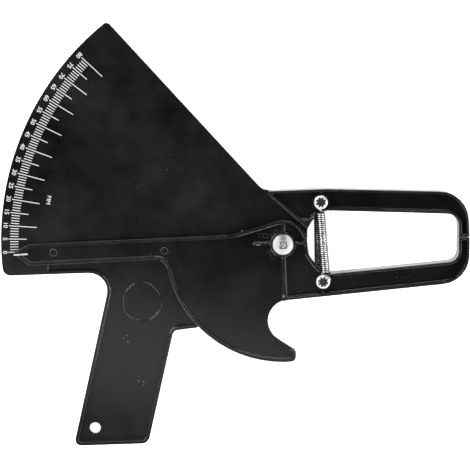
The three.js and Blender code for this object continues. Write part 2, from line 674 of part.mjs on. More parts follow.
function makeLever() {
  const high = TOTAL_DEPTH + BEYOND;
  const tipTop = leverBack + POINTER_TIP_THICKNESS;
  const block = prism(leverOutline, leverBack, TOTAL_DEPTH).add(prism(lowerJawBackOutline, 0, leverWebTop));
  const overRims = crossCut([
    [-far, tipTop + POINTER_TIP_RIM],
    [-POINTER_REACH, tipTop + POINTER_TIP_RIM],
    [-ARM_TAPER_START, TOTAL_DEPTH],
    [-ARM_TAPER_START, high],
    [-far, high],
  ]);

  // Front recess of the arm and the trigger, open at the finger recess
  const overWeb = crossCut([
    [-far, tipTop],
    [-POINTER_REACH, tipTop],
    [-ARM_TAPER_START, triggerFace],
    [far, triggerFace],
    [far, high],
    [-far, high],
  ]);
  const ribs = hubRibs();
  const boss = disc(0, 0, HUB_BOSS_RADIUS, 0, high);
  const rimmed = inset(leverOutline, LEVER_RIM);
  const rimmedRecess = rimmed.find((place) => place.from === fingerRecess);
  const rimmedPoint = rimmed.find((place) => place.from === hookPoint);
  const fingerSide = prism(
    [
      corner(rimmedPoint.x - HOOK_POINT_ROUND, rimmedPoint.y + HOOK_POINT_ROUND),
      corner(rimmedPoint.x + far, rimmedPoint.y + HOOK_POINT_ROUND),
      corner(rimmedPoint.x + far, ribFoot + LEVER_RIM),
      corner(0, ribFoot + LEVER_RIM),
      rimmedRecess,
    ],
    0,
    high,
  );
  const frontRecess = prism(rimmed, 0, high).add(fingerSide).intersect(triggerSide).intersect(overWeb);

  // Hollow behind the arm and the trigger
  const underWeb = crossCut([
    [-POINTER_REACH, -BEYOND],
    [far, -BEYOND],
    [far, triggerWallBack],
    [-ARM_TAPER_START, triggerWallBack],
    [-POINTER_REACH, tipTop - TRIGGER_WALL],
  ]);
  const backRibs = [];
  for (let i = 1; i <= TRIGGER_BACK_RIBS; i += 1) {
    const share = i / (TRIGGER_BACK_RIBS + 1);
    const angle = radians(THREE.MathUtils.lerp(angleOf(triggerShoulder), angleOf(hookEndCorner), share));
    const x = TRIGGER_RADIUS * Math.cos(angle);
    const y = TRIGGER_RADIUS * Math.sin(angle);
    backRibs.push(bar(0, 0, x, y, BACK_RIB, BACK_RIB, leverBack + BACK_RIB_SET_BACK, TOTAL_DEPTH));
  }
  const backHollow = prism(rimmed, leverBack - BEYOND, TOTAL_DEPTH)
    .intersect(triggerSide)
    .intersect(underWeb)
    .subtract(wasm.Manifold.union(backRibs))
    .subtract(disc(0, 0, HUB_BOSS_RADIUS + LEVER_RIM, 0, TOTAL_DEPTH));

  // Channels of the lower jaw
  const screwSeat = wasm.Manifold.union([
    disc(LOWER_SCREW_X, LOWER_SCREW_Y, SCREW_BOSS_RADIUS, -BEYOND, high),
    bar(LOWER_SCREW_X, LOWER_SCREW_Y, LOWER_SCREW_X, -LOWER_JAW_BOTTOM, STUB_RIB, STUB_RIB, -BEYOND, high),
  ]);
  const channel = prism(inset(leverOutline, JAW_RIM), leverWebTop, high).subtract(triggerSide);
  const backChannel = prism(inset(lowerJawBackOutline, JAW_RIM), -BEYOND, leverBack);

  return block
    .subtract(overRims)
    .subtract(frontRecess.subtract(ribs).subtract(boss))
    .subtract(backHollow.subtract(ribs))
    .subtract(channel.subtract(ribs).subtract(boss).subtract(screwSeat))
    .subtract(backChannel.subtract(screwSeat))
    .subtract(disc(0, 0, HUB_BOSS_RADIUS, HUB_BOSS_TOP, high))
    .subtract(disc(0, 0, RIVET_HEAD_RADIUS + HEAD_ROOM, rivetHeadSeat - SEAT_CLEARANCE, high))
    .subtract(disc(0, 0, RIVET_SHANK_RADIUS + PIVOT_CLEARANCE, 0, high))
    .subtract(springRoom(LOWER_SCREW_X, LOWER_SCREW_Y, 'end'));
}

// A domed top as profile points, from its rim to the axis
function crown(radius, low, height, steps) {
  const points = [];
  for (let i = 0; i <= steps; i += 1) {
    const share = i / steps;
    points.push([radius * (1 - share), low + height * (1 - (1 - share) ** 2)]);
  }
  return points;
}

function makeRivet() {
  const headTop = rivetHeadSeat + RIVET_HEAD_EDGE;
  return geometryOf(
    solidOf(
      turned(
        [
          [0, 0],
          [RIVET_TAIL_RADIUS - RIVET_TAIL_CHAMFER, 0],
          [RIVET_TAIL_RADIUS, RIVET_TAIL_CHAMFER],
          [RIVET_TAIL_RADIUS, RIVET_TAIL_HEIGHT],
          [RIVET_SHANK_RADIUS, RIVET_TAIL_HEIGHT],
          [RIVET_SHANK_RADIUS, rivetHeadSeat],
          [RIVET_HEAD_RADIUS, rivetHeadSeat],
          ...crown(RIVET_HEAD_RADIUS, headTop, RIVET_HEAD_CROWN, DOME_STEPS),
        ],
      ),
    ),
  );
}

function makeWasher() {
  const low = RIVET_TAIL_HEIGHT + SEAT_CLEARANCE;
  const ring = disc(0, 0, WASHER_RADIUS, low, low + WASHER_THICKNESS);
  return geometryOf(ring.subtract(disc(0, 0, RIVET_SHANK_RADIUS + PIVOT_CLEARANCE, 0, TOTAL_DEPTH)));
}

// A pan-head screw with a star recess, standing at the origin with its seat at level 0
function makeScrew() {
  const body = solidOf(
    turned(
      [
        [0, -SCREW_SHANK_REACH],
        [SCREW_SHANK_RADIUS / 2, -SCREW_SHANK_REACH],
        [SCREW_SHANK_RADIUS, SCREW_SHANK_RADIUS / 2 - SCREW_SHANK_REACH],
        [SCREW_SHANK_RADIUS, 0],
        [SCREW_HEAD_RADIUS, 0],
        ...crown(SCREW_HEAD_RADIUS, SCREW_HEAD_EDGE, SCREW_HEAD_CROWN, SCREW_DOME_STEPS),
      ],
      HOLE_SIDES,
    ),
  );
  const star = [];
  for (let i = 0; i < 2 * SCREW_STAR_POINTS; i += 1) {
    const angle = (Math.PI * i) / SCREW_STAR_POINTS;
    const radius = i % 2 ? SCREW_STAR_RADIUS * STAR_VALLEY : SCREW_STAR_RADIUS;
    star.push(corner(radius * Math.cos(angle), radius * Math.sin(angle)));
  }
  const top = SCREW_HEAD_EDGE + SCREW_HEAD_CROWN;
  return body.subtract(prism(star, top - SCREW_STAR_DEPTH, top + BEYOND));
}

function placedScrew(x, y, rear) {
  const geometry = geometryOf(makeScrew());
  if (rear) geometry.rotateX(Math.PI);
  geometry.translate(x, y, rear ? mirrored(headSeat) : headSeat);
  return geometry;
}

// The wire's centre line: a loop round the upper screw, the coil, and a loop round the lower screw.
// A spring behind the jaws is the same one turned half round about its own length.
function springRoute(coil, rear, fine = 1) {
  const level = rear ? mirrored(springLevel) : springLevel;
  const side = rear ? -1 : 1;
  const along = coil.along;
  const across = new THREE.Vector3(-along.y, along.x, 0).multiplyScalar(side);
  const up = new THREE.Vector3(0, 0, side);
  const radius = coilOuter - WIRE_DIAMETER / 2;
  const start = coil.start.clone().setZ(level);
  const atTurn = (turn) => {
    const angle = -2 * Math.PI * turn;
    return start
      .clone()
      .addScaledVector(along, turn * COIL_PITCH)
      .addScaledVector(across, radius * Math.cos(angle))
      .addScaledVector(up, radius * Math.sin(angle));
  };
  const slack = SPRING_LOOP_RADIUS - SCREW_SHANK_RADIUS - WIRE_DIAMETER / 2 - SEAT_CLEARANCE;
  const loop = (screwX, screwY, way) => {
    const centre = new THREE.Vector3(screwX, screwY, level).addScaledVector(along, way * slack);
    return (degrees) =>
      centre
        .clone()
        .addScaledVector(across, -way * SPRING_LOOP_RADIUS * Math.cos(radians(degrees)))
        .addScaledVector(along, -way * SPRING_LOOP_RADIUS * Math.sin(radians(degrees)));
  };
  const lead = (loopEnd, coilEnd, next, way) =>
    new THREE.CubicBezierCurve3(
      loopEnd,
      loopEnd.clone().addScaledVector(along, way * LEAD_REACH),
      coilEnd.clone().addScaledVector(next.clone().sub(coilEnd).normalize(), -LEAD_BEND),
      coilEnd,
    );
  const upper = loop(UPPER_SCREW_X, UPPER_SCREW_Y, 1);
  const lower = loop(LOWER_SCREW_X, LOWER_SCREW_Y, -1);
  const loopSteps = Math.round((LOOP_STEPS * fine * SPRING_LOOP_SWEEP) / 360);
  const leadSteps = LEAD_STEPS * fine;
  const turnSteps = COIL_TURNS * CURL_STEPS * fine;
  const points = [];
  for (let i = loopSteps; i > 0; i -= 1) points.push(upper((SPRING_LOOP_SWEEP * i) / loopSteps));
  points.push(...lead(upper(0), atTurn(0), atTurn(NEAR_TURN), 1).getPoints(leadSteps).slice(0, -1));
  for (let i = 0; i <= turnSteps; i += 1) points.push(atTurn((COIL_TURNS * i) / turnSteps));
  const last = lead(lower(0), atTurn(COIL_TURNS), atTurn(COIL_TURNS - NEAR_TURN), -1).getPoints(leadSteps);
  points.push(...last.reverse().slice(1));
  for (let i = 1; i <= loopSteps; i += 1) points.push(lower((SPRING_LOOP_SWEEP * i) / loopSteps));
  return points;
}

// One closed tube round a route, its rings carried along without twisting
function wire(route, diameter) {
  const count = route.length;
  const tangents = route.map((_, i) =>
    new THREE.Vector3().subVectors(route[Math.min(i + 1, count - 1)], route[Math.max(i - 1, 0)]).normalize(),
  );
  const normal = new THREE.Vector3(0, 0, 1).cross(tangents[0]).normalize();
  const positions = [];
  route.forEach((centre, i) => {
    normal.addScaledVector(tangents[i], -normal.dot(tangents[i])).normalize();
    const second = new THREE.Vector3().crossVectors(tangents[i], normal);
    for (let s = 0; s < WIRE_SIDES; s += 1) {
      const angle = (2 * Math.PI * s) / WIRE_SIDES;
      const point = centre
        .clone()
        .addScaledVector(normal, (diameter / 2) * Math.cos(angle))
        .addScaledVector(second, (diameter / 2) * Math.sin(angle));
      positions.push(point.x, point.y, point.z);
    }
  });
  const index = [];
  for (let i = 0; i < count - 1; i += 1) {
    for (let s = 0; s < WIRE_SIDES; s += 1) {
      const a = i * WIRE_SIDES + s;
      const b = i * WIRE_SIDES + ((s + 1) % WIRE_SIDES);
      index.push(a, b, b + WIRE_SIDES, a, b + WIRE_SIDES, a + WIRE_SIDES);
    }
  }
  const lastRing = (count - 1) * WIRE_SIDES;
  for (let s = 1; s < WIRE_SIDES - 1; s += 1) {
    index.push(0, s + 1, s);
    index.push(lastRing, lastRing + s, lastRing + s + 1);
  }
  const geometry = new THREE.BufferGeometry();
  geometry.setAttribute('position', new THREE.Float32BufferAttribute(positions, 3));
  geometry.setIndex(index);
  const faceted = geometry.toNonIndexed();
  faceted.computeVertexNormals();
  return faceted;
}

// Least free gap of a wire to itself, measured on points of its centre line
function leastGap(route, diameter) {
  const away = [0];
  for (let i = 1; i < route.length; i += 1) away.push(away[i - 1] + route[i].distanceTo(route[i - 1]));
  let least = Infinity;
  for (let i = 0; i < route.length; i += 1) {
    for (let j = i + 1; j < route.length; j += 1) {
      if (away[j] - away[i] < NEIGHBOURING_WIRE * diameter) continue;
      least = Math.min(least, route[i].distanceTo(route[j]));
    }
  }
  return least - diameter;
}

const blackPlastic = { color: 0x1d1d1f, roughness: 0.42, metalness: 0 };
const brightSteel = { color: 0xc8cacc, roughness: 0.3, metalness: 0.9 };
const dullSteel = { color: 0x9a9da0, roughness: 0.45, metalness: 0.85 };

function piece(name, geometry, finish) {
  const mesh = new THREE.Mesh(geometry, new THREE.MeshStandardMaterial(finish));
  mesh.name = name;
  return mesh;
}

for (const [name, coil, rear] of [['front', frontCoil, false], ['rear', rearCoil, true]]) {
  const gap = leastGap(springRoute(coil, rear, GAP_FINENESS), WIRE_DIAMETER);
  console.log(`least gap of the ${name} spring to itself: ${gap.toFixed(3)} mm`);
}

const frame = new THREE.Group();
frame.add(
  piece('frame_moulding', geometryOf(makeFrame()), blackPlastic),
  piece('pivot_rivet', makeRivet(), brightSteel),
  piece('rivet_washer', makeWasher(), dullSteel),
  piece('front_upper_screw', placedScrew(UPPER_SCREW_X, UPPER_SCREW_Y, false), brightSteel),
  piece('rear_upper_screw', placedScrew(UPPER_SCREW_X, UPPER_SCREW_Y, true), brightSteel),
  piece('front_spring', wire(springRoute(frontCoil, false), WIRE_DIAMETER), dullSteel),
  piece('rear_spring', wire(springRoute(rearCoil, true), WIRE_DIAMETER), dullSteel),
);
const lever = new THREE.Group();
lever.add(
  piece('lever_moulding', geometryOf(makeLever()), blackPlastic),
  piece('front_lower_screw', placedScrew(LOWER_SCREW_X, LOWER_SCREW_Y, false), brightSteel),
  piece('rear_lower_screw', placedScrew(LOWER_SCREW_X, LOWER_SCREW_Y, true), brightSteel),
);

const caliper = new THREE.Group();
caliper.add(frame, lever);

export default caliper;
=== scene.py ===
"""Looks of the skinfold caliper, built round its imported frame. Metres; X runs to the jaws, Z out of the scale face."""
import math

import bmesh
import bpy
import numpy as np
from bpy.props import FloatProperty, FloatVectorProperty, IntProperty, PointerProperty
from mathutils import Matrix, Vector, noise
from mathutils.bvhtree import BVHTree
from mathutils.geometry import delaunay_2d_cdt


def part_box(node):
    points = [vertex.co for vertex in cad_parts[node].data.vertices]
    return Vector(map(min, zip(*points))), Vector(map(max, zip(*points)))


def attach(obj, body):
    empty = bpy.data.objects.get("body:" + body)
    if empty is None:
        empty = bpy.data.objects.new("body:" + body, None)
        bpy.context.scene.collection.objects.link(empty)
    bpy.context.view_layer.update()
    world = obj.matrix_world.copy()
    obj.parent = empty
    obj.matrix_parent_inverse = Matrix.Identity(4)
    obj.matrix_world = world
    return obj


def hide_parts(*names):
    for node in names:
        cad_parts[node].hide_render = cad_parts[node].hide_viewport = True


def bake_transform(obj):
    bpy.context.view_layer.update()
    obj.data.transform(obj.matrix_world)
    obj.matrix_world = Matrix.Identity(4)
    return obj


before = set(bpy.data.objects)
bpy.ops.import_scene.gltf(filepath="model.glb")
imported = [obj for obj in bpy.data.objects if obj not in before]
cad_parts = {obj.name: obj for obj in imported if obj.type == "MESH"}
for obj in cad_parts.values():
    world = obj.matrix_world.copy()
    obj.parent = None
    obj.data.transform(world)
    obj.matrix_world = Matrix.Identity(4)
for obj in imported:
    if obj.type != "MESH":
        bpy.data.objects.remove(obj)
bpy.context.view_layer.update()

bl_info = {
    "name": "Skinfold Caliper",
    "version": (1, 0, 0),
    "blender": (4, 5, 0),
    "location": "3D View > Sidebar > Caliper",
    "description": "Dresses the frame of a skinfold caliper in moulded plastic, steel and printed marks",
    "category": "Object",
}

MM = 0.001


# ---- Sizes and colours that a user would change


class PlasticSettings(bpy.types.PropertyGroup):
    frame_colour: FloatVectorProperty(
        name="Frame Colour", description="Colour of the fan, handle and upper jaw", subtype="COLOR",
        default=(0.0031, 0.0031, 0.0031), min=0, max=1,
    )
    lever_colour: FloatVectorProperty(
        name="Lever Colour", description="Colour of the pointer, trigger and lower jaw", subtype="COLOR",
        default=(0.0015, 0.0015, 0.0015), min=0, max=1,
    )
    roughness: FloatProperty(
        name="Roughness", description="Roughness of the moulded faces", default=0.205, min=0, max=1, subtype="FACTOR",
    )
    edge_round: FloatProperty(
        name="Edge Round", description="Width of the rounding along every moulded edge", default=0.34 * MM, min=0,
        subtype="DISTANCE",
    )


class ScaleSettings(bpy.types.PropertyGroup):
    ink: FloatVectorProperty(
        name="Ink", description="Colour of the printed marks", subtype="COLOR", default=(0.43, 0.43, 0.425),
        min=0, max=1,
    )
    marks: IntProperty(name="Marks", description="Number of millimetre marks, with the mark at 0", default=81, min=2)
    first_angle: FloatProperty(
        name="First Angle", description="Direction of the mark at 0 from the pivot", default=math.radians(181.80),
        subtype="ANGLE",
    )
    sweep: FloatProperty(
        name="Sweep", description="Angle from the first mark to the last", default=math.radians(44.65), subtype="ANGLE",
    )
    unit_inner: FloatProperty(
        name="Unit Inner", description="Inner end of a 1 mm mark", default=153.4 * MM, subtype="DISTANCE",
    )
    unit_outer: FloatProperty(
        name="Unit Outer", description="Outer end of a 1 mm mark", default=158.2 * MM, subtype="DISTANCE",
    )
    five_inner: FloatProperty(
        name="Five Inner", description="Inner end of a 5 mm mark", default=148.6 * MM, subtype="DISTANCE",
    )
    five_outer: FloatProperty(
        name="Five Outer", description="Outer end of a 5 mm mark", default=159.2 * MM, subtype="DISTANCE",
    )
    ten_inner: FloatProperty(
        name="Ten Inner", description="Inner end of a 10 mm mark", default=143.1 * MM, subtype="DISTANCE",
    )
    drift: FloatProperty(
        name="Drift", description="How much nearer the pivot the last mark is printed than the first",
        default=0.95 * MM, subtype="DISTANCE",
    )
    line_width: FloatProperty(name="Line Width", description="Width of a mark", default=0.50 * MM, subtype="DISTANCE")
    digit_radius: FloatProperty(
        name="Digit Radius", description="Distance of the numbers from the pivot", default=161.15 * MM,
        subtype="DISTANCE",
    )
    digit_height: FloatProperty(
        name="Digit Height", description="Height of a number", default=2.6 * MM, subtype="DISTANCE",
    )


class SpringSettings(bpy.types.PropertyGroup):
    wire: FloatProperty(name="Wire", description="Diameter of the wire", default=1.12 * MM, subtype="DISTANCE")
    coil: FloatProperty(name="Coil", description="Outer diameter of the coil", default=5.5 * MM, subtype="DISTANCE")
    turns: FloatProperty(name="Turns", description="Turns of each coil", default=29.5, min=1)
    pitch: FloatProperty(name="Pitch", description="Pitch of the coil at rest", default=1.2 * MM, subtype="DISTANCE")
    loop: FloatProperty(name="Loop", description="Radius of the end loops", default=3.1 * MM, subtype="DISTANCE")
    sweep: FloatProperty(
        name="Sweep", description="How far the wire swings out where a loop begins", default=0.9 * MM,
        subtype="DISTANCE",
    )
    shank: FloatProperty(name="Shank", description="Radius of the screw shanks", default=1.5 * MM, subtype="DISTANCE")


class StageSettings(bpy.types.PropertyGroup):
    floor_colour: FloatVectorProperty(
        name="Floor Colour", description="Colour of the floor", subtype="COLOR", default=(0.9, 0.9, 0.9), min=0, max=1,
    )
    lamps: FloatProperty(name="Lamps", description="Power of the soft boxes", default=1.0, min=0)
    distance: FloatProperty(name="Distance", description="Camera to caliper", default=1.3, subtype="DISTANCE")
    tilt: FloatProperty(
        name="Tilt", description="Lean of the camera to the top of the picture", default=math.radians(5.0),
        subtype="ANGLE",
    )


# ---- Mesh helpers


def clamp(value):
    return min(1.0, max(0.0, value))


def centre_of(node):
    low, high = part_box(node)
    return (low + high) / 2


def new_object(name, mesh):
    obj = bpy.data.objects.new(name, mesh)
    bpy.context.scene.collection.objects.link(obj)
    return obj


def mesh_of(bm, name):
    """What a bmesh holds, as a mesh; the bmesh itself is freed."""
    mesh = bpy.data.meshes.new(name)
    bm.to_mesh(mesh)
    bm.free()
    return mesh


def closed_mesh(bm, name):
    """The same for a closed shape, with its faces turned outwards."""
    bmesh.ops.recalc_face_normals(bm, faces=bm.faces)
    return mesh_of(bm, name)


def paint(obj, key):
    """Gives an object one finish in place of what it had."""
    obj.data.materials.clear()
    obj.data.materials.append(finish(key))


def settle(obj, body, slot, *replaced, coat=None):
    """Gives a piece its finish, its body and the nodes it stands for. The slot is not used."""
    if coat:
        paint(obj, coat)
    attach(obj, body)
    if replaced:
        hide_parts(*replaced)


def made_mesh(obj, name):
    """The evaluated shape of an object as a plain mesh object; the object itself is removed."""
    bpy.context.view_layer.update()
    evaluated = obj.evaluated_get(bpy.context.evaluated_depsgraph_get())
    mesh = bpy.data.meshes.new_from_object(evaluated)
    bpy.data.objects.remove(obj)
    mesh.name = name
    return new_object(name, mesh)


def smooth_object(name, mesh, degrees):
    """A mesh as an object that shades smooth across every edge that bends less than an angle."""
    for polygon in mesh.polygons:
        polygon.use_smooth = True
    mesh.set_sharp_from_angle(angle=math.radians(degrees))
    return new_object(name, mesh)


def flat_groups(faces, degrees):
    """Faces that meet within an angle, as lists."""
    seen, groups, limit = set(), [], math.radians(degrees)
    for face in faces:
        if face in seen:
            continue
        seen.add(face)
        group = [face]
        for at in group:
            for other in (f for edge in at.edges for f in edge.link_faces):
                if other not in seen and other.normal.angle(face.normal, 9.0) < limit:
                    seen.add(other)
                    group.append(other)
        groups.append(group)
    return groups


def members_of(bm, flat):
    """The faces of each flat group, by the group's number; rounded strips have the number 0 and are left out."""
    members = {}
    for face in bm.faces:
        if face[flat]:
            members.setdefault(face[flat], []).append(face)
    return members


def winding(points, starts, ends, batch=400):
    """How often the directed edges go round each point."""
    turns = np.zeros(len(points))
    for k in range(0, len(points), batch):
        p = points[k:k + batch, None, :]
        a = starts[None] - p
        b = ends[None] - p
        cross = a[..., 0] * b[..., 1] - a[..., 1] * b[..., 0]
        dot = (a * b).sum(axis=2)
        turns[k:k + batch] = np.arctan2(cross, dot).sum(axis=1) / (2 * math.pi)
    return turns


def relaid(bm, group, normal):
    """Fresh triangles for one flat face, from its outline alone; the rounding may have folded the old ones."""
    inside = set(group)
    outline = []
    for face in group:
        for loop in face.loops:
            if sum(other in inside for other in loop.edge.link_faces) == 1:
                outline.append((loop.vert, loop.link_loop_next.vert))
    verts = list(dict.fromkeys(v for pair in outline for v in pair))
    number = {v: k for k, v in enumerate(verts)}
    side = normal.orthogonal().normalized()
    up = normal.cross(side)
    flat = [Vector((v.co.dot(side), v.co.dot(up))) / MM for v in verts]
    edges = [(number[a], number[b]) for a, b in outline]
    places, _, triangles, origins, _, _ = delaunay_2d_cdt(flat, edges, [], 0, 1e-5, True)
    if not triangles:
        return ()
    starts = np.array([flat[a] for a, b in edges])
    ends = np.array([flat[b] for a, b in edges])
    middles = np.array([sum((places[k] for k in t), Vector((0, 0))) / len(t) for t in triangles])
    level = sum(v.co.dot(normal) for v in verts) / len(verts)
    used = {}

    def vert_of(k):
        if k not in used:
            if origins[k]:
                used[k] = verts[origins[k][0]]
            else:
                place = places[k] * MM
                used[k] = bm.verts.new(side * place.x + up * place.y + normal * level)
        return used[k]

    bmesh.ops.delete(bm, geom=group, context="FACES_ONLY")
    made = []
    for triangle, turn in zip(triangles, winding(middles, starts, ends)):
        if turn < 0.5:
            continue
        corners = [vert_of(k) for k in triangle]
        if len(set(corners)) < 3:
            continue
        a, b, c = (v.co for v in corners)
        if (b - a).cross(c - a).dot(normal) < 0:
            corners.reverse()
        if bm.faces.get(corners) is None:
            made.append(bm.faces.new(corners))
    return made


# Where rounded edges are painted lighter as painted highlights, where the rounding catches the lamps: both ends of a
# stretch, how far it reaches and its lowest level in millimetres, and how strong the painted highlight is.
PAINTED_EDGE_HIGHLIGHTS = {
    "frame_moulding": (
        (-64.7, -50.4, -64.7, -50.4, 3.0, 7.0, 1.0), (-101.4, -22.8, -101.4, -22.8, 4.2, 7.0, 1.0),
        (-100.6, -25.9, -100.6, -25.9, 2.4, 7.0, 1.0), (16.3, 14.2, 16.3, 14.2, 2.7, 14.5, 1.0),
        (-81.0, -110.0, -76.0, -108.0, 5.0, 7.0, 0.7), (-95.0, -62.0, -100.0, -108.0, 42.0, 7.0, 0.32),
    ),
    "lever_moulding": (
        (-68.9, -10.8, -66.4, -15.6, 2.0, 13.5, 0.5), (-66.4, -17.0, -63.0, -30.0, 2.6, 13.5, 0.4),
        (-63.0, -30.0, -52.0, -43.0, 2.6, 13.5, 0.55), (-52.0, -43.0, -30.0, -61.0, 2.6, 13.5, 0.3),
        (-147.0, 0.2, -60.0, 5.5, 2.4, 9.0, 0.35), (-147.0, -10.0, -73.6, -7.5, 2.4, 9.0, 0.35),
    ),
}


def worn_at(node_name, middle):
    """How strongly an edge is painted lighter as a highlight at a place given in millimetres."""
    most = 0.0
    for x1, y1, x2, y2, reach, lowest, strength in PAINTED_EDGE_HIGHLIGHTS[node_name]:
        start, run = Vector((x1, y1)), Vector((x2 - x1, y2 - y1))
        near = start + run * clamp((middle.xy - start).dot(run) / max(run.length_squared, 1e-6))
        if middle.z > lowest and (middle.xy - near).length < reach:
            most = max(most, strength)
    return most


# The mouth's upper back corner is a flat facet in the solid, from FACET_START to FACET_END. MOUTH_REACH is how far
# the round corner that it stands for reaches out, in millimetres, against the height where it is measured.
FACET_START, FACET_END = Vector((14.91, 9.09, 0)) * MM, Vector((20.10, 15.88, 0)) * MM
FACET_STRIPS = 10
MOUTH_REACH = ((4.6, 0.0), (7.2, 0.35), (9.2, 0.8), (11.0, 1.15), (13.3, 1.4), (15.9, 1.05), (17.6, 0.5), (18.8, 0.0))


def reach_at(height):
    return float(np.interp(height, *zip(*MOUTH_REACH)))


def rounded_mouth(bm):
    """Cuts the facet into strips and moves them, the foot's end and the spring pocket's edge outwards."""
    run = FACET_END - FACET_START
    along = run.normalized()
    out = Vector((-along.y, along.x, 0))

    def on_facet(vert):
        arm = vert.co - FACET_START
        return abs(arm.dot(out)) < 0.02 * MM and -0.01 * MM < arm.dot(along) < run.length + 0.01 * MM

    for k in range(1, FACET_STRIPS):
        facet = [f for f in bm.faces if abs(f.normal.dot(out)) > 0.999 and all(on_facet(v) for v in f.verts)]
        parts = set(facet) | {e for f in facet for e in f.edges} | {v for f in facet for v in f.verts}
        cut = FACET_START + run * k / FACET_STRIPS
        bmesh.ops.bisect_plane(bm, geom=list(parts), dist=0.001 * MM, plane_co=cut, plane_no=along)
    away = Vector((-0.85, 0.53, 0))
    moves = []
    for vert in bm.verts:
        x, y = vert.co.x / MM, vert.co.y / MM
        depth = (vert.co - FACET_START).dot(out) / MM
        if on_facet(vert) or (13.9 < x < 15.4 and 4.6 < y < 9.4) or (21.5 < x < 22.0 and 17.3 < y < 17.8):
            moves.append((vert, reach_at(y)))
        elif 14.5 < x < 19.5 and 14.5 < y < 17.6 and 1.4 < depth < 3.5:
            moves.append((vert, 0.9 * reach_at(y - 1.5) * (1 - (depth - 1.6) / 2.4)))
    for vert, reach in moves:
        vert.co += away * reach * MM


# Edges that bend by more than this are rounded, apart from those near a spring screw or the pivot.
SHARP_BEND = math.radians(26)
NEAR_SCREW = 6.2 * MM
NEAR_PIVOT = 6.9 * MM


def moulding(node_name, name, width):
    """A copy of a moulded CAD node with sharp edges rounded, its strips marked as rubbed and, in listed stretches, as
    painted highlights.
    """
    bm = bmesh.new()
    bm.from_mesh(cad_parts[node_name].data)
    bmesh.ops.remove_doubles(bm, verts=bm.verts, dist=0.01 * MM)
    bm.normal_update()
    if node_name == "frame_moulding":
        rounded_mouth(bm)
        bm.normal_update()
    surface = BVHTree.FromBMesh(bm)
    wear_and_highlight = bm.faces.layers.float.new("edge_wear")
    flat = bm.faces.layers.int.new("flat")
    normals = [Vector((0, 0, 1))]
    for group in flat_groups(list(bm.faces), 1.0):
        for face in group:
            face[flat] = len(normals)
        normals.append(sum((f.normal * f.calc_area() for f in group), Vector()).normalized())
    screws = [centre_of(node).xy for node in ("front_upper_screw", "front_lower_screw")]

    def kept_sharp(edge):
        near_screw = any((v.co.xy - screw).length < NEAR_SCREW for v in edge.verts for screw in screws)
        return near_screw or all(v.co.xy.length < NEAR_PIVOT for v in edge.verts)

    sharp = [e for e in bm.edges if e.is_manifold and e.calc_face_angle(0) > SHARP_BEND and not kept_sharp(e)]
    made = bmesh.ops.bevel(
        bm, geom=sharp, offset=width, offset_type="OFFSET", segments=2, profile=0.6, affect="EDGES",
        clamp_overlap=False, miter_outer="ARC", miter_inner="SHARP",
    )
    for face in made["faces"]:
        # One marks a rubbed strip; anything above one paints a highlight on it.
        face[wear_and_highlight] = 1.0 + worn_at(node_name, face.calc_center_median() / MM)
        face[flat] = 0
    for vert in bm.verts:
        nearest, _, _, away = surface.find_nearest(vert.co)
        if away > 1.3 * width:
            vert.co = nearest
    for key, group in members_of(bm, flat).items():
        if len(group) > 2:
            for face in relaid(bm, group, normals[key]):
                face[flat] = key
    bmesh.ops.delete(bm, geom=[v for v in bm.verts if not v.link_faces], context="VERTS")
    bm.normal_update()
    mark_lands(bm, normals, flat)
    chosen = shading_normals(bm, normals, flat)
    mesh = mesh_of(bm, name)
    mesh.normals_split_custom_set(chosen)
    return new_object(name, mesh)


def mark_lands(bm, normals, flat):
    """The narrow raised faces, rubbed by hands and tables, are marked by how narrow they are."""
    land = bm.faces.layers.float.new("land")
    for key, group in members_of(bm, flat).items():
        if abs(normals[key].z) <= 0.99:
            continue
        inside = set(group)
        area = sum(face.calc_area() for face in group)
        rim = (edge for face in group for edge in face.edges if not all(f in inside for f in edge.link_faces))
        breadth = 2 * area / max(sum(edge.calc_length() for edge in rim), 1e-9)
        for face in group:
            face[land] = clamp((4.5 * MM - breadth) / (2.0 * MM))


def shading_normals(bm, normals, flat, curved=math.radians(31)):
    """A normal for each corner, so that flat faces shade flat, curved walls shade round, and strips join them."""
    area = {}
    for face in bm.faces:
        area[face[flat]] = area.get(face[flat], 0.0) + face.calc_area()
    at_vert = {}
    for vert in bm.verts:
        keys = list({face[flat] for face in vert.link_faces if face[flat]})
        at_vert[vert] = []
        for key in keys:
            near = (other for other in keys if normals[key].angle(normals[other], 0) < curved)
            total = sum((normals[other] * area[other] for other in near), Vector())
            at_vert[vert].append((key, total.normalized()))
    chosen = []
    for face in bm.faces:
        face.smooth = True
        for loop in face.loops:
            clusters = at_vert[loop.vert]
            if face[flat]:
                normal = next((n for key, n in clusters if key == face[flat]), face.normal)
            elif clusters:
                normal = max((n for _, n in clusters), key=lambda n: n.dot(face.normal))
                if normal.dot(face.normal) < 0.5:
                    normal = face.normal
            else:
                near = (other for other in loop.vert.link_faces if other.normal.dot(face.normal) > 0.4)
                total = sum((other.normal * max(other.calc_area(), 1e-12) for other in near), Vector())
                normal = total.normalized() if total.length else face.normal
            chosen.append(tuple(normal) if normal.length > 0.5 else (0.0, 0.0, 1.0))
    return chosen


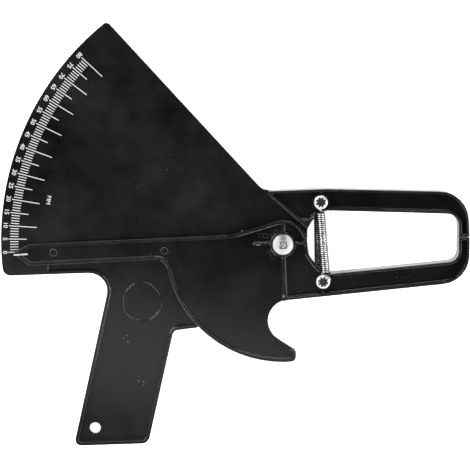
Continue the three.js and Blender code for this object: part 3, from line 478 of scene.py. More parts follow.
def ringed(name, rings, sides):
    """A closed turned mesh. Each ring gives a radius and a level for an angle; the end rings are points."""
    bm = bmesh.new()
    rows = []
    for number, ring in enumerate(rings):
        if number in (0, len(rings) - 1):
            rows.append([bm.verts.new((0, 0, ring(0)[1]))])
            continue
        row = []
        for k in range(sides):
            angle = 2 * math.pi * k / sides
            radius, level = ring(angle)
            row.append(bm.verts.new((radius * math.cos(angle), radius * math.sin(angle), level)))
        rows.append(row)
    for low, high in zip(rows, rows[1:]):
        for k in range(sides):
            n = (k + 1) % sides
            if len(low) == 1:
                bm.faces.new((low[0], high[n], high[k]))
            elif len(high) == 1:
                bm.faces.new((low[k], low[n], high[0]))
            else:
                bm.faces.new((low[k], low[n], high[n], high[k]))
    return closed_mesh(bm, name)


def plain(radius, level):
    return lambda angle: (radius, level)


# ---- Node helpers


def raised(colour, by):
    return tuple(c + by for c in colour)


def scaled(colour, by):
    return tuple(by * c for c in colour)


class Nodes:
    """Short calls for building one node tree."""

    def __init__(self, tree):
        self.tree = tree

    def add(self, kind, **settings):
        node = self.tree.nodes.new(kind)
        for key, value in settings.items():
            setattr(node, key, value)
        return node

    def found(self, kind):
        return next(node for node in self.tree.nodes if node.type == kind)

    def link(self, source, target):
        self.tree.links.new(source, target)

    def math(self, operation, a, b=None):
        node = self.add("ShaderNodeMath", operation=operation)
        for place, value in enumerate((a, b)):
            if isinstance(value, (int, float)):
                node.inputs[place].default_value = value
            elif value is not None:
                self.link(value, node.inputs[place])
        return node.outputs[0]

    def plus(self, a, b):
        return self.math("ADD", a, b)

    def minus(self, a, b):
        return self.math("SUBTRACT", a, b)

    def times(self, a, b):
        return self.math("MULTIPLY", a, b)

    def away_from(self, a, b):
        return self.math("ABSOLUTE", self.minus(a, b))

    def attribute(self, name):
        return self.add("ShaderNodeAttribute", attribute_name=name).outputs["Fac"]

    def combine(self, *values):
        node = self.add("ShaderNodeCombineXYZ")
        for socket, value in zip(node.inputs, values):
            if value is not None:
                self.link(value, socket)
        return node.outputs[0]

    def mapping(self, vector, label, value):
        node = self.add("ShaderNodeMapping")
        node.inputs[label].default_value = value
        self.link(vector, node.inputs["Vector"])
        return node.outputs[0]

    def noise(self, coordinates, scale, detail, roughness):
        node = self.add("ShaderNodeTexNoise")
        for label, number in (("Scale", scale), ("Detail", detail), ("Roughness", roughness)):
            node.inputs[label].default_value = number
        self.link(coordinates, node.inputs["Vector"])
        return node.outputs["Fac"]

    def spread(self, value, low, high, to_low=0.0, to_high=1.0):
        node = self.add("ShaderNodeMapRange")
        self.link(value, node.inputs["Value"])
        for label, number in (("From Min", low), ("From Max", high), ("To Min", to_low), ("To Max", to_high)):
            node.inputs[label].default_value = number
        return node.outputs["Result"]

    def mix_colour(self, factor, a, b):
        node = self.add("ShaderNodeMix", data_type="RGBA")
        self.link(factor, node.inputs["Factor"])
        for label, value in (("A", a), ("B", b)):
            socket = next(s for s in node.inputs if s.name == label and s.type == "RGBA")
            if isinstance(value, tuple):
                socket.default_value = (*value, 1)
            else:
                self.link(value, socket)
        return next(s for s in node.outputs if s.type == "RGBA")

    def bump(self, height, distance, strength, before=None):
        node = self.add("ShaderNodeBump")
        node.inputs["Distance"].default_value = distance
        node.inputs["Strength"].default_value = strength
        self.link(height, node.inputs["Height"])
        if before is not None:
            self.link(before, node.inputs["Normal"])
        return node.outputs["Normal"]


# ---- Materials. Each maker gives a colour, a roughness, a normal, and 1 for a metal or 0 for another material.


def new_material(name):
    material = bpy.data.materials.new(name)
    material.use_nodes = True
    n = Nodes(material.node_tree)
    return material, n, n.found("BSDF_PRINCIPLED").inputs, n.add("ShaderNodeTexCoord").outputs["Object"]


def moulded_plastic(n, place, colour, roughness):
    """Black injection-moulded plastic: fine spark texture, flow clouds, hairlines, nicks, rubbed edges, painted edge
    highlights.
    """
    grain = n.noise(place, 2600, 3, 0.6)
    clouds = n.noise(place, 18, 3, 0.55)
    scuffs = n.noise(place, 160, 4, 0.65)
    smudges = n.noise(place, 55, 4, 0.6)
    along = n.mapping(n.mapping(place, "Rotation", (0, 0, 1.1)), "Scale", (45, 1400, 200))
    hairlines = n.spread(n.noise(along, 1.0, 2, 0.5), 0.66, 0.72)
    nicked = n.spread(n.noise(place, 38, 2, 0.5), 0.60, 0.68)
    nicks = n.times(n.spread(n.noise(place, 800, 1, 0.4), 0.71, 0.75), nicked)
    wear_and_highlight = n.attribute("edge_wear")
    patchy = n.spread(scuffs, 0.35, 0.7, 0.45, 1.0)
    rubbed = n.times(n.math("MINIMUM", wear_and_highlight, 1.0), patchy)
    topped = n.times(n.attribute("land"), patchy)
    painted_highlight = n.times(n.spread(wear_and_highlight, 1.0, 2.0), patchy)
    blotches = n.plus(n.times(clouds, 0.5), n.times(smudges, 0.5))
    tone = n.mix_colour(n.spread(blotches, 0.38, 0.62), scaled(colour, 0.4), scaled(colour, 2.1))
    # The share from the listed edge stretches paints highlights on them.
    for share, lighter in (
        (topped, 0.004), (rubbed, 0.011), (painted_highlight, 0.10), (n.times(nicks, 0.4), 0.09), (n.times(hairlines, 0.25), 0.012),
    ):
        tone = n.mix_colour(share, tone, raised(colour, lighter))
    shine = n.spread(blotches, 0.36, 0.64, roughness - 0.04, roughness + 0.04)
    shine = n.plus(n.plus(shine, n.spread(grain, 0.3, 0.7, -0.03, 0.03)), n.times(topped, 0.1))
    fine = n.bump(nicks, 0.05 * MM, 0.4, n.bump(grain, 0.02 * MM, 0.3))
    return tone, n.minus(shine, n.times(rubbed, 0.11)), n.bump(clouds, 0.25 * MM, 0.15, fine), 0


def worn_steel(n, place, colour, roughness, scratch):
    """Plated steel with fine scratches and dull patches."""
    patches = n.noise(place, 420, 4, 0.6)
    grains = n.noise(place, 2400, 3, 0.6)
    tone = n.mix_colour(n.spread(patches, 0.35, 0.7), colour, scaled(colour, 0.72))
    shine = n.spread(patches, 0.3, 0.75, roughness - 0.05, roughness + 0.1)
    return tone, shine, n.bump(patches, 0.05 * MM, scratch, n.bump(grains, 0.015 * MM, scratch)), 1


def printed_ink(n, place, colour):
    """White pad-printing ink, a little thin where it met the texture of the plastic."""
    thin = n.noise(place, 1800, 3, 0.6)
    tone = n.mix_colour(n.spread(thin, 0.55, 0.8), colour, scaled(colour, 0.7))
    return tone, n.spread(thin, 0.3, 0.7, 0.45, 0.6), n.bump(thin, 0.01 * MM, 0.2), 0


def set_rivet(n, place, colour, roughness):
    """Bright steel with a dark wedge over the upper part of the dome, which is a painted reflection, and the square
    punch mark that setting the rivet has left.
    """
    patches = n.noise(place, 420, 4, 0.6)
    grains = n.noise(place, 2400, 3, 0.6)
    apart = n.add("ShaderNodeSeparateXYZ")
    n.link(place, apart.inputs[0])
    x, y, z = apart.outputs
    wobble = n.spread(n.noise(place, 300, 3, 0.7), 0.3, 0.7, -1.1 * MM, 1.1 * MM)
    reach = n.plus(n.times(y, 0.25), 0.9 * MM)
    off = n.minus(n.math("ABSOLUTE", n.plus(n.minus(x, 0.35 * MM), wobble)), reach)
    # A painted dark reflection: a wedge from near the middle of the dome to its top edge, widening upwards.
    painted_reflection_streak = n.times(n.spread(off, -1.4 * MM, 0.7 * MM, 1.0, 0.0), n.spread(y, 1.2 * MM, 3.0 * MM))
    across = n.math("ABSOLUTE", n.plus(x, n.times(wobble, 0.5)))
    along = n.math("ABSOLUTE", n.plus(y, 0.3 * MM))
    far = n.math("MAXIMUM", across, along)
    outline = n.spread(n.away_from(far, 1.8 * MM), 0.2 * MM, 0.5 * MM, 1.0, 0.0)
    cross = n.spread(n.away_from(across, along), 0.2 * MM, 0.5 * MM, 1.0, 0.0)
    cross = n.times(cross, n.spread(far, 1.5 * MM, 1.8 * MM, 1.0, 0.0))
    broken = n.spread(n.noise(place, 700, 2, 0.6), 0.34, 0.50, 0.25, 1.0)
    punch = n.times(n.math("MAXIMUM", outline, cross), broken)
    front = n.spread(z, 13 * MM, 13.2 * MM)
    # This joins the painted reflection wedge and the real punch mark.
    darkening = n.times(n.math("MAXIMUM", n.times(painted_reflection_streak, 0.6), n.times(punch, 0.95)), front)
    clean = n.mix_colour(n.spread(patches, 0.4, 0.75), colour, scaled(colour, 0.78))
    tone = n.mix_colour(darkening, clean, (0.08, 0.08, 0.085))
    shine = n.plus(n.spread(patches, 0.3, 0.75, roughness - 0.06, roughness + 0.06), n.times(darkening, -0.15))
    fine = n.bump(punch, 0.05 * MM, 0.6, n.bump(grains, 0.015 * MM, 0.5))
    return tone, shine, n.bump(patches, 0.05 * MM, 0.5, fine), 1


def drawn_wire(n, place, colour, darkening, roughness):
    """Drawn spring wire, bright on the crowns of the turns and darkened by painted shade between the turns, on the
    coil's flanks and along its middle.
    """
    patches = n.noise(place, 520, 3, 0.6)
    drawn = n.noise(place, 2600, 2, 0.5)
    # The painted shade mixes the wire towards the dark second colour and roughens it.
    wire_shade = n.times(n.attribute("tarnish"), n.spread(patches, 0.2, 0.6, 0.75, 1.0))
    clean = n.mix_colour(n.spread(patches, 0.35, 0.7), colour, scaled(colour, 0.75))
    shine = n.plus(n.times(wire_shade, 0.25), n.spread(patches, 0.3, 0.7, roughness - 0.04, roughness + 0.06))
    return n.mix_colour(wire_shade, clean, darkening), shine, n.bump(drawn, 0.012 * MM, 0.2), 1


# Finishes that a user doesn't change: the maker of the material, then its colour, roughness and scratches.
FINISHES = {
    # The next finish is stress-whitened plastic for mould marks; on the grip ring's upper left arc and the stub rib's
    # end it is a painted highlight.
    "stressed_plastic": (moulded_plastic, (0.10, 0.10, 0.10), 0.4),
    "faint_rub": (moulded_plastic, (0.022, 0.022, 0.023), 0.34),
    # The next finish paints shade into the screw recesses.
    "recess_grime": (moulded_plastic, (0.004, 0.004, 0.005), 0.45),
    # The next finish is near black, painted as shade in the thumb notch and in the gap round the rivet head.
    "old_grease": (moulded_plastic, (0.0008, 0.0008, 0.0008), 0.75),
    "rivet_steel": (set_rivet, (0.60, 0.60, 0.605), 0.55),
    "screw_steel": (worn_steel, (0.78, 0.78, 0.785), 0.45, 0.5),
    "washer_steel": (worn_steel, (0.66, 0.67, 0.68), 0.4, 0.4),
    # For the spring wire the second colour is the colour of the painted shade.
    "spring_wire": (drawn_wire, (0.86, 0.86, 0.86), (0.012, 0.012, 0.012), 0.26),
}
_materials = {}


def finish(key):
    """The material of a finish, made when it is first asked for."""
    if key not in _materials:
        plastic, scale = bpy.context.scene.caliper_plastic, bpy.context.scene.caliper_scale
        chosen = {
            "frame_plastic": (moulded_plastic, tuple(plastic.frame_colour), plastic.roughness),
            "lever_plastic": (moulded_plastic, tuple(plastic.lever_colour), plastic.roughness),
            "scale_ink": (printed_ink, tuple(scale.ink)),
        }
        maker, *values = chosen.get(key) or FINISHES[key]
        _materials[key], n, shader, place = new_material(key)
        *sources, shader["Metallic"].default_value = maker(n, place, *values)
        for label, source in zip(("Base Color", "Roughness", "Normal"), sources):
            n.link(source, shader[label])
    return _materials[key]


# ---- Geometry Nodes


def new_tree(name, sockets):
    """An empty tree with its named inputs."""
    tree = bpy.data.node_groups.new(name, "GeometryNodeTree")
    for label, kind in {"Geometry": "Geometry", **sockets}.items():
        tree.interface.new_socket(label, in_out="INPUT", socket_type="NodeSocket" + kind)
    tree.interface.new_socket("Geometry", in_out="OUTPUT", socket_type="NodeSocketGeometry")
    n = Nodes(tree)
    return tree, n, n.add("NodeGroupInput").outputs


def apply_tree(obj, tree, values):
    """The mesh that a tree makes of an object."""
    modifier = obj.modifiers.new("shape", "NODES")
    modifier.node_group = tree
    for item in tree.interface.items_tree:
        if item.item_type == "SOCKET" and item.in_out == "INPUT" and item.name in values:
            modifier[item.identifier] = values[item.name]
    return made_mesh(obj, obj.name)


def finish_tree(n, geometry, get):
    """Ends a tree with real instances in their material."""
    real = n.add("GeometryNodeRealizeInstances")
    painted = n.add("GeometryNodeSetMaterial")
    n.link(geometry, real.inputs[0])
    n.link(real.outputs[0], painted.inputs["Geometry"])
    n.link(get["Material"], painted.inputs["Material"])
    n.link(painted.outputs[0], n.add("NodeGroupOutput").inputs[0])


MARK_SIZES = ("First Angle", "Unit Inner", "Unit Outer", "Five Inner", "Five Outer", "Ten Inner", "Drift", "Line Width")


def scale_marks_tree():
    """Bars on a circle: each tenth bar is long, each fifth one is middling, the others are short."""
    floats = dict.fromkeys((*MARK_SIZES, "Step", "Ink Height", "Level"), "Float")
    tree, n, get = new_tree("scale_marks", {"Marks": "Int", **floats, "Material": "Material"})
    line = n.add("GeometryNodeMeshLine")
    n.link(get["Marks"], line.inputs["Count"])
    index = n.add("GeometryNodeInputIndex").outputs[0]
    is_ten = n.math("LESS_THAN", n.math("MODULO", index, 10), 0.5)
    is_five = n.math("LESS_THAN", n.math("MODULO", index, 5), 0.5)

    def choose(condition, when_false, when_true):
        switch = n.add("GeometryNodeSwitch", input_type="FLOAT")
        for label, value in (("Switch", condition), ("False", when_false), ("True", when_true)):
            n.link(value, switch.inputs[label])
        return switch.outputs[0]

    inner = choose(is_ten, choose(is_five, get["Unit Inner"], get["Five Inner"]), get["Ten Inner"])
    outer = choose(is_five, get["Unit Outer"], get["Five Outer"])
    angle = n.plus(get["First Angle"], n.times(index, get["Step"]))
    last = n.math("MAXIMUM", n.minus(get["Marks"], 1), 1)
    shift = n.times(get["Drift"], n.minus(0.5, n.math("DIVIDE", index, last)))
    middle = n.plus(n.times(n.plus(inner, outer), 0.5), shift)
    x, y = (n.times(middle, n.math(way, angle)) for way in ("COSINE", "SINE"))
    placed = n.add("GeometryNodeSetPosition")
    n.link(line.outputs["Mesh"], placed.inputs["Geometry"])
    n.link(n.combine(x, y, get["Level"]), placed.inputs["Position"])
    bars = n.add("GeometryNodeInstanceOnPoints")
    for label, value in (
        ("Points", placed.outputs[0]), ("Instance", n.add("GeometryNodeMeshCube").outputs["Mesh"]),
        ("Rotation", n.combine(None, None, angle)),
        ("Scale", n.combine(n.minus(outer, inner), get["Line Width"], get["Ink Height"])),
    ):
        n.link(value, bars.inputs[label])
    finish_tree(n, bars.outputs[0], get)
    return tree


def wire_tree():
    """A round wire along a curve, closed at both ends."""
    tree, n, get = new_tree("round_wire", {"Wire Radius": "Float", "Sides": "Int", "Material": "Material"})
    circle = n.add("GeometryNodeCurvePrimitiveCircle")
    sweep = n.add("GeometryNodeCurveToMesh")
    n.link(get["Sides"], circle.inputs["Resolution"])
    n.link(get["Wire Radius"], circle.inputs["Radius"])
    n.link(get["Geometry"], sweep.inputs["Curve"])
    n.link(circle.outputs["Curve"], sweep.inputs["Profile Curve"])
    sweep.inputs["Fill Caps"].default_value = True
    finish_tree(n, sweep.outputs[0], get)
    return tree


# ---- Mouldings


class CALIPER_OT_frame_moulding(bpy.types.Operator):
    """Fan, handle and upper jaw in textured black plastic with rounded edges"""

    bl_idname = "caliper.frame_moulding"
    bl_label = "Frame Moulding"

    def execute(self, context):
        obj = moulding("frame_moulding", "frame_body", context.scene.caliper_plastic.edge_round)
        settle(obj, "frame", "frame_plastic", "frame_moulding", coat="frame_plastic")
        return {"FINISHED"}


class CALIPER_OT_lever_moulding(bpy.types.Operator):
    """Pointer, trigger and lower jaw in textured black plastic with rounded edges"""

    bl_idname = "caliper.lever_moulding"
    bl_label = "Lever Moulding"

    def execute(self, context):
        obj = moulding("lever_moulding", "lever_body", context.scene.caliper_plastic.edge_round)
        settle(obj, "lever", "lever_plastic", "lever_moulding", coat="lever_plastic")
        return {"FINISHED"}


def low_ridge(name, x, y, level, radius, width, rise=0.12, first=0, last=360, sides=48):
    """A low rounded ridge on a face, along a circle or an arc of it; millimetres and degrees."""
    bm = bmesh.new()
    whole = last - first >= 360
    count = sides if whole else sides + 1
    rows = []
    for r, z in ((-0.5, -rise), (-0.25, rise), (0.25, rise), (0.5, -rise)):
        row = []
        for k in range(count):
            angle = math.radians(first + (last - first) * k / sides)
            reach = radius + r * width
            place = Vector((x + reach * math.cos(angle), y + reach * math.sin(angle), level + z * width))
            row.append(bm.verts.new(place * MM))
        rows.append(row)
    for low, high in zip(rows, rows[1:] + rows[:1]):
        for k in range(sides):
            n = (k + 1) % count
            bm.faces.new((low[k], low[n], high[n], high[k]))
    if not whole:
        for end in (0, -1):
            bm.faces.new([row[end] for row in rows])
    return smooth_object(name, closed_mesh(bm, name), 60)


def pip(name, x, y, level, length, breadth):
    """A low uneven dome in millimetres: most of it is in the face, and its top is at the level given."""

    def ring_at(share, rise):
        return lambda angle: (share * (1 + 0.18 * math.sin(3 * angle + x)), rise)

    rings = [
        plain(0, -0.3 * MM), plain(1, -0.3 * MM), plain(1, -0.05 * MM), ring_at(0.86, -0.01 * MM), ring_at(0.5, 0.0),
        plain(0, 0.0),
    ]
    mesh = ringed(name, rings, 20)
    size = Matrix.Diagonal((length * MM / 2, breadth * MM / 2, 1, 1))
    mesh.transform(Matrix.Translation(Vector((x, y, level)) * MM) @ size)
    return smooth_object(name, mesh, 50)


# How a mark is made, its finish and its body, then for each mark its name, its centre and its level in millimetres.
# A ridge goes on with its radius, its width, its rise as a share of the width, and where it isn't a plain circle its
# arc in degrees and its number of sides. A pip goes on with its length and breadth.
MARKS = (
    (low_ridge, "faint_rub", "lever", (
        ("pin_ring_middle", -68.8, -3.8, 11.88, 2.0, 0.42, 0.2), ("pin_ring_tip", -133.3, -5.0, 9.88, 2.1, 0.42, 0.2),
        ("hub_pin_left", -12.7, 5.4, 12.6, 1.2, 0.36, 0.08), ("hub_pin_right", -10.1, 5.1, 12.6, 1.4, 0.36, 0.08),
    )),
    (low_ridge, "lever_plastic", "lever", (
        ("hub_turning_upper", 0, 0, 12.6, 8.8, 0.36, 0.08, 104, 166),
        ("hub_turning_upper_far", 0, 0, 12.6, 9.9, 0.36, 0.08, 112, 160),
        ("hub_turning_lower", 0, 0, 12.6, 8.8, 0.36, 0.08, 196, 258),
        ("hub_turning_lower_far", 0, 0, 12.6, 9.9, 0.36, 0.08, 200, 246),
    )),
    (pip, "stressed_plastic", "lever", (
        # The pip at the end of the stub rib is lighter as a painted highlight.
        ("gate_mark_stub", -14.4, 0.0, 15.03, 2.8, 0.9), ("gate_mark_tip", -17.0, 0.6, 15.03, 0.9, 0.9),
        ("gate_mark_foot", 0.4, -29.9, 15.03, 1.2, 1.6), ("gate_mark_rim", -23.7, 8.2, 15.03, 1.0, 0.9),
    )),
    (pip, "stressed_plastic", "frame", (
        ("grip_pip_high", -91.0, -54.3, 4.74, 0.6, 0.6), ("grip_pip_high_left", -92.8, -55.5, 4.74, 0.5, 0.5),
        ("grip_pip_high_low", -90.4, -57.8, 4.74, 0.8, 0.8), ("grip_pip_top", -83.9, -78.2, 4.74, 0.6, 0.6),
        ("grip_pip_left", -84.2, -81.0, 4.74, 0.8, 0.8), ("grip_pip_right", -81.3, -81.5, 4.74, 0.7, 0.7),
        ("grip_pip_low", -81.8, -83.6, 4.74, 0.6, 0.6),
    )),
    (low_ridge, "frame_plastic", "frame", (("grip_ring", -82.1, -34.3, 4.675, 11.2, 0.8, 0.12, 0, 360, 96),)),
    # The lighter arc on the grip ring's upper left is a painted highlight.
    (low_ridge, "stressed_plastic", "frame", (("grip_ring_worn", -82.1, -34.3, 4.71, 11.2, 0.5, 0.12, 112, 154, 24),)),
    # A near-black patch in the thumb notch, against the rim, is painted shade where the rim's wall shades the recess.
    (pip, "old_grease", "frame", (("notch_grime", -58.9, -47.75, 4.73, 7.4, 1.7),)),
)


class CALIPER_OT_mould_marks(bpy.types.Operator):
    """Ejector-pin rings, turning marks and gate marks on the lever, and the plain ring and pips on the grip, with
    painted highlights on the ring's upper left and the stub rib's end and painted shade in the notch
    """

    bl_idname = "caliper.mould_marks"
    bl_label = "Mould Marks"

    def execute(self, context):
        for make, coat, body, marks in MARKS:
            for mark in marks:
                settle(make(*mark), body, body + "_plastic", coat=coat)
        return {"FINISHED"}


# ---- Printed scale


FACE_LEVEL = 7.35 * MM
INK_HEIGHT = 0.06 * MM
LETTER_DEPTH = 0.01
# How much fatter than the plain letters the print is.
DIGIT_BOLD, UNIT_BOLD = 0.018, 0.01
UNIT_RADIUS, UNIT_ANGLE, UNIT_HEIGHT = 138.3 * MM, math.radians(169.4), 2.4 * MM


def printed_at(radius, angle, text, height, bold):
    """Flat printed characters on the fan, upright for someone who looks out from the pivot."""
    curve = bpy.data.curves.new("letters", "FONT")
    curve.body = text
    curve.offset = bold
    curve.extrude = LETTER_DEPTH
    curve.resolution_u = 3
    letters = made_mesh(new_object("letters", curve), "letters")
    xs, ys = ([v.co[axis] for v in letters.data.vertices] for axis in (0, 1))
    middle = Vector(((max(xs) + min(xs)) / 2, (max(ys) + min(ys)) / 2, 0))
    size = height / (max(ys) - min(ys))
    flat = Matrix.Diagonal((size, size, INK_HEIGHT / (2 * LETTER_DEPTH), 1)) @ Matrix.Translation(-middle)
    place = Matrix.Translation((radius * math.cos(angle), radius * math.sin(angle), FACE_LEVEL))
    letters.data.transform(place @ Matrix.Rotation(angle + math.pi / 2, 4, "Z") @ flat)
    return letters


def joined(name, objects):
    """Several mesh objects as one."""
    bm = bmesh.new()
    for obj in objects:
        bm.from_mesh(obj.data)
        bpy.data.objects.remove(obj)
    return new_object(name, mesh_of(bm, name))


class CALIPER_OT_scale(bpy.types.Operator):
    """Printed millimetre marks, their numbers and the unit on the fan"""

    bl_idname = "caliper.scale"
    bl_label = "Printed Scale"

    def execute(self, context):
        s = context.scene.caliper_scale
        step = -s.sweep / (s.marks - 1)
        values = {label: getattr(s, label.lower().replace(" ", "_")) for label in ("Marks", *MARK_SIZES)}
        values |= {"Step": step, "Ink Height": INK_HEIGHT, "Level": FACE_LEVEL, "Material": finish("scale_ink")}
        base = new_object("scale_marks", bpy.data.meshes.new("scale_marks"))
        settle(apply_tree(base, scale_marks_tree(), values), "frame", "frame_plastic")
        numbers = []
        for value in range(0, s.marks, 5):
            radius = s.digit_radius + s.drift * (0.5 - value / (s.marks - 1))
            numbers.append(printed_at(radius, s.first_angle + step * value, str(value), s.digit_height, DIGIT_BOLD))
        numbers.append(printed_at(UNIT_RADIUS, UNIT_ANGLE, "MM", UNIT_HEIGHT, UNIT_BOLD))
        settle(joined("scale_numbers", numbers), "frame", "frame_plastic", coat="scale_ink")
        return {"FINISHED"}


LINE_START, LINE_END = Vector((-156.35, -6.4, 0)) * MM, Vector((-148.3, -5.95, 0)) * MM
LINE_HALF = 0.42 * MM
LINE_STEPS = 28


class CALIPER_OT_pointer_line(bpy.types.Operator):
    """The white index line on the tip of the pointer"""

    bl_idname = "caliper.pointer_line"
    bl_label = "Pointer Line"

    def execute(self, context):
        lever = bmesh.new()
        lever.from_mesh(bpy.data.objects["lever_body"].data)
        surface = BVHTree.FromBMesh(lever)
        lever.free()
        across = Vector((0, 0, 1)).cross(LINE_END - LINE_START).normalized() * LINE_HALF
        level = 9.5 * MM
        bm = bmesh.new()
        rows = []
        for k in range(LINE_STEPS + 1):
            row = []
            for side in (-1, -0.33, 0.33, 1):
                x, y, _ = LINE_START.lerp(LINE_END, k / LINE_STEPS) + across * side
                hit = surface.ray_cast(Vector((x, y, 1)), Vector((0, 0, -1)))[0]
                if hit is not None:
                    level = hit.z
                row.append([bm.verts.new((x, y, level + rise * MM)) for rise in (-0.1, 0.05)])
            rows.append(row)
        for row, following in zip(rows, rows[1:]):
            for (a, a_top), (b, b_top), (c, c_top), (d, d_top) in zip(row, row[1:], following[1:], following):
                bm.faces.new((a_top, d_top, c_top, b_top))
                bm.faces.new((a, b, c, d))
        for edge in (rows[0][::-1], rows[-1], [row[0] for row in rows], [row[-1] for row in rows[::-1]]):
            for near, far in zip(edge, edge[1:]):
                bm.faces.new((near[0], far[0], far[1], near[1]))
        obj = new_object("pointer_line", closed_mesh(bm, "pointer_line"))
        settle(obj, "lever", "lever_plastic", coat="scale_ink")
        return {"FINISHED"}


# ---- Rivet, washer and screws


SHANK_RADIUS = 3 * MM
TAIL_RADIUS = 4.6 * MM
TAIL_HEIGHT = 1.4 * MM
TAIL_CHAMFER = 0.4 * MM
HEAD_DEPTH = 1.9 * MM
HEAD_CROWN = 0.9 * MM
DOME_RINGS = (0.985, 0.955, 0.9, 0.8, 0.7, 0.6, 0.5, 0.42, 0.35, 0.28, 0.2, 0.1)


class CALIPER_OT_rivet(bpy.types.Operator):
    """The pivot rivet with its hammered dome, and the washer under its tail end"""

    bl_idname = "caliper.rivet"
    bl_label = "Pivot Rivet"

    def execute(self, context):
        low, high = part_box("pivot_rivet")
        head = high.x
        seat = high.z - HEAD_DEPTH

        def dome(share):
            def ring(angle):
                radius = head * share
                place = Vector((radius * math.cos(angle), radius * math.sin(angle), 0)) / MM
                level = high.z - HEAD_CROWN * share ** 2.2
                level -= 0.10 * MM * max(0.0, 1 - (radius / (2.1 * MM)) ** 2)
                level -= 0.05 * MM * (0.5 + 0.5 * noise.noise(place * 1.3)) * min(1.0, 6 * (1 - share))
                return radius, level
            return ring

        rings = [
            plain(0, low.z), plain(TAIL_RADIUS - TAIL_CHAMFER, low.z), plain(TAIL_RADIUS, TAIL_CHAMFER),
            plain(TAIL_RADIUS, TAIL_HEIGHT), plain(SHANK_RADIUS, TAIL_HEIGHT), plain(SHANK_RADIUS, seat),
            plain(head - 0.15 * MM, seat), plain(head, seat + 0.15 * MM), plain(head, seat + 0.75 * MM),
            *map(dome, DOME_RINGS), plain(0, high.z - 0.12 * MM),
        ]
        obj = smooth_object("pivot_head", ringed("pivot_head", rings, 72), 40)
        settle(obj, "frame", "rivet_steel", "pivot_rivet", coat="rivet_steel")
        # A near-black ring on the boss round the head is painted shadow for the gap under the dome's edge.
        gap = low_ridge("pivot_grease", 0, 0, 13.42, 6.32, 0.62, sides=72)
        settle(gap, "lever", "lever_plastic", coat="old_grease")
        paint(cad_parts["rivet_washer"], "washer_steel")
        return {"FINISHED"}


SCREW_TOP = 2.2 * MM
SCREW_SIDES = 96
RECESS_DEPTH = 1.25 * MM


def screw_mesh(name, head, foot, shank):
    """A pan-head screw with an eight-pointed recess, standing on its own axis with its seat at level 0."""
    deep = SCREW_TOP - RECESS_DEPTH

    def star(angle):
        return (2.15 + 1.0 * (0.5 + 0.5 * math.cos(8 * angle)) ** 1.3) * MM

    def in_recess(share, level):
        return lambda angle: (star(angle) * share, level)

    def outside(share, drop):
        return lambda angle: (star(angle) * (1 - share) + head * share, SCREW_TOP - drop * MM)

    rings = [
        plain(0, foot), plain(shank * 0.5, foot), plain(shank, foot + shank * 0.5), plain(shank, 0),
        plain(head - 0.2 * MM, 0), plain(head, 0.2 * MM), plain(head, SCREW_TOP - 0.95 * MM),
        outside(0.97, 0.62), outside(0.88, 0.32), outside(0.7, 0.12), outside(0.4, 0.02), outside(0.1, 0),
        in_recess(1.0, SCREW_TOP - 0.08 * MM), in_recess(0.97, SCREW_TOP - 0.2 * MM), in_recess(0.9, deep),
        in_recess(0.45, deep - 0.1 * MM), plain(0, deep - 0.15 * MM),
    ]
    mesh = ringed(name, rings, SCREW_SIDES)
    mesh.materials.append(finish("screw_steel"))
    # The recess faces take a near-black finish as painted shade in the recess.
    mesh.materials.append(finish("recess_grime"))
    for polygon in mesh.polygons[-4 * SCREW_SIDES:]:
        polygon.material_index = 1
    return mesh


class CALIPER_OT_screws(bpy.types.Operator):
    """The four pan-head screws that hold the spring loops"""

    bl_idname = "caliper.screws"
    bl_label = "Spring Screws"

    def execute(self, context):
        shank = context.scene.caliper_springs.shank
        for number, (node, body) in enumerate((
            ("front_upper_screw", "frame"), ("front_lower_screw", "lever"),
            ("rear_upper_screw", "frame"), ("rear_lower_screw", "lever"),
        )):
            low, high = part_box(node)
            x, y, _ = centre_of(node)
            mesh = screw_mesh(node + "_head", (high.x - low.x) / 2, SCREW_TOP - (high.z - low.z), shank)
            if node.startswith("rear"):
                place = Matrix.Translation((x, y, low.z + SCREW_TOP)) @ Matrix.Rotation(math.pi, 4, "X")
            else:
                place = Matrix.Translation((x, y, high.z - SCREW_TOP))
            mesh.transform(place @ Matrix.Rotation(0.4 + 0.9 * number, 4, "Z"))
            settle(smooth_object(node + "_piece", mesh, 48), body, "screw_steel", node)
        return {"FINISHED"}


# ---- Springs


COIL_TOP = 18.6 * MM
LOOP_DEGREES = 200
LOOP_STEPS = 30
LEAD_STEPS = 16
TURN_STEPS = 24
WIRE_SIDES = 18


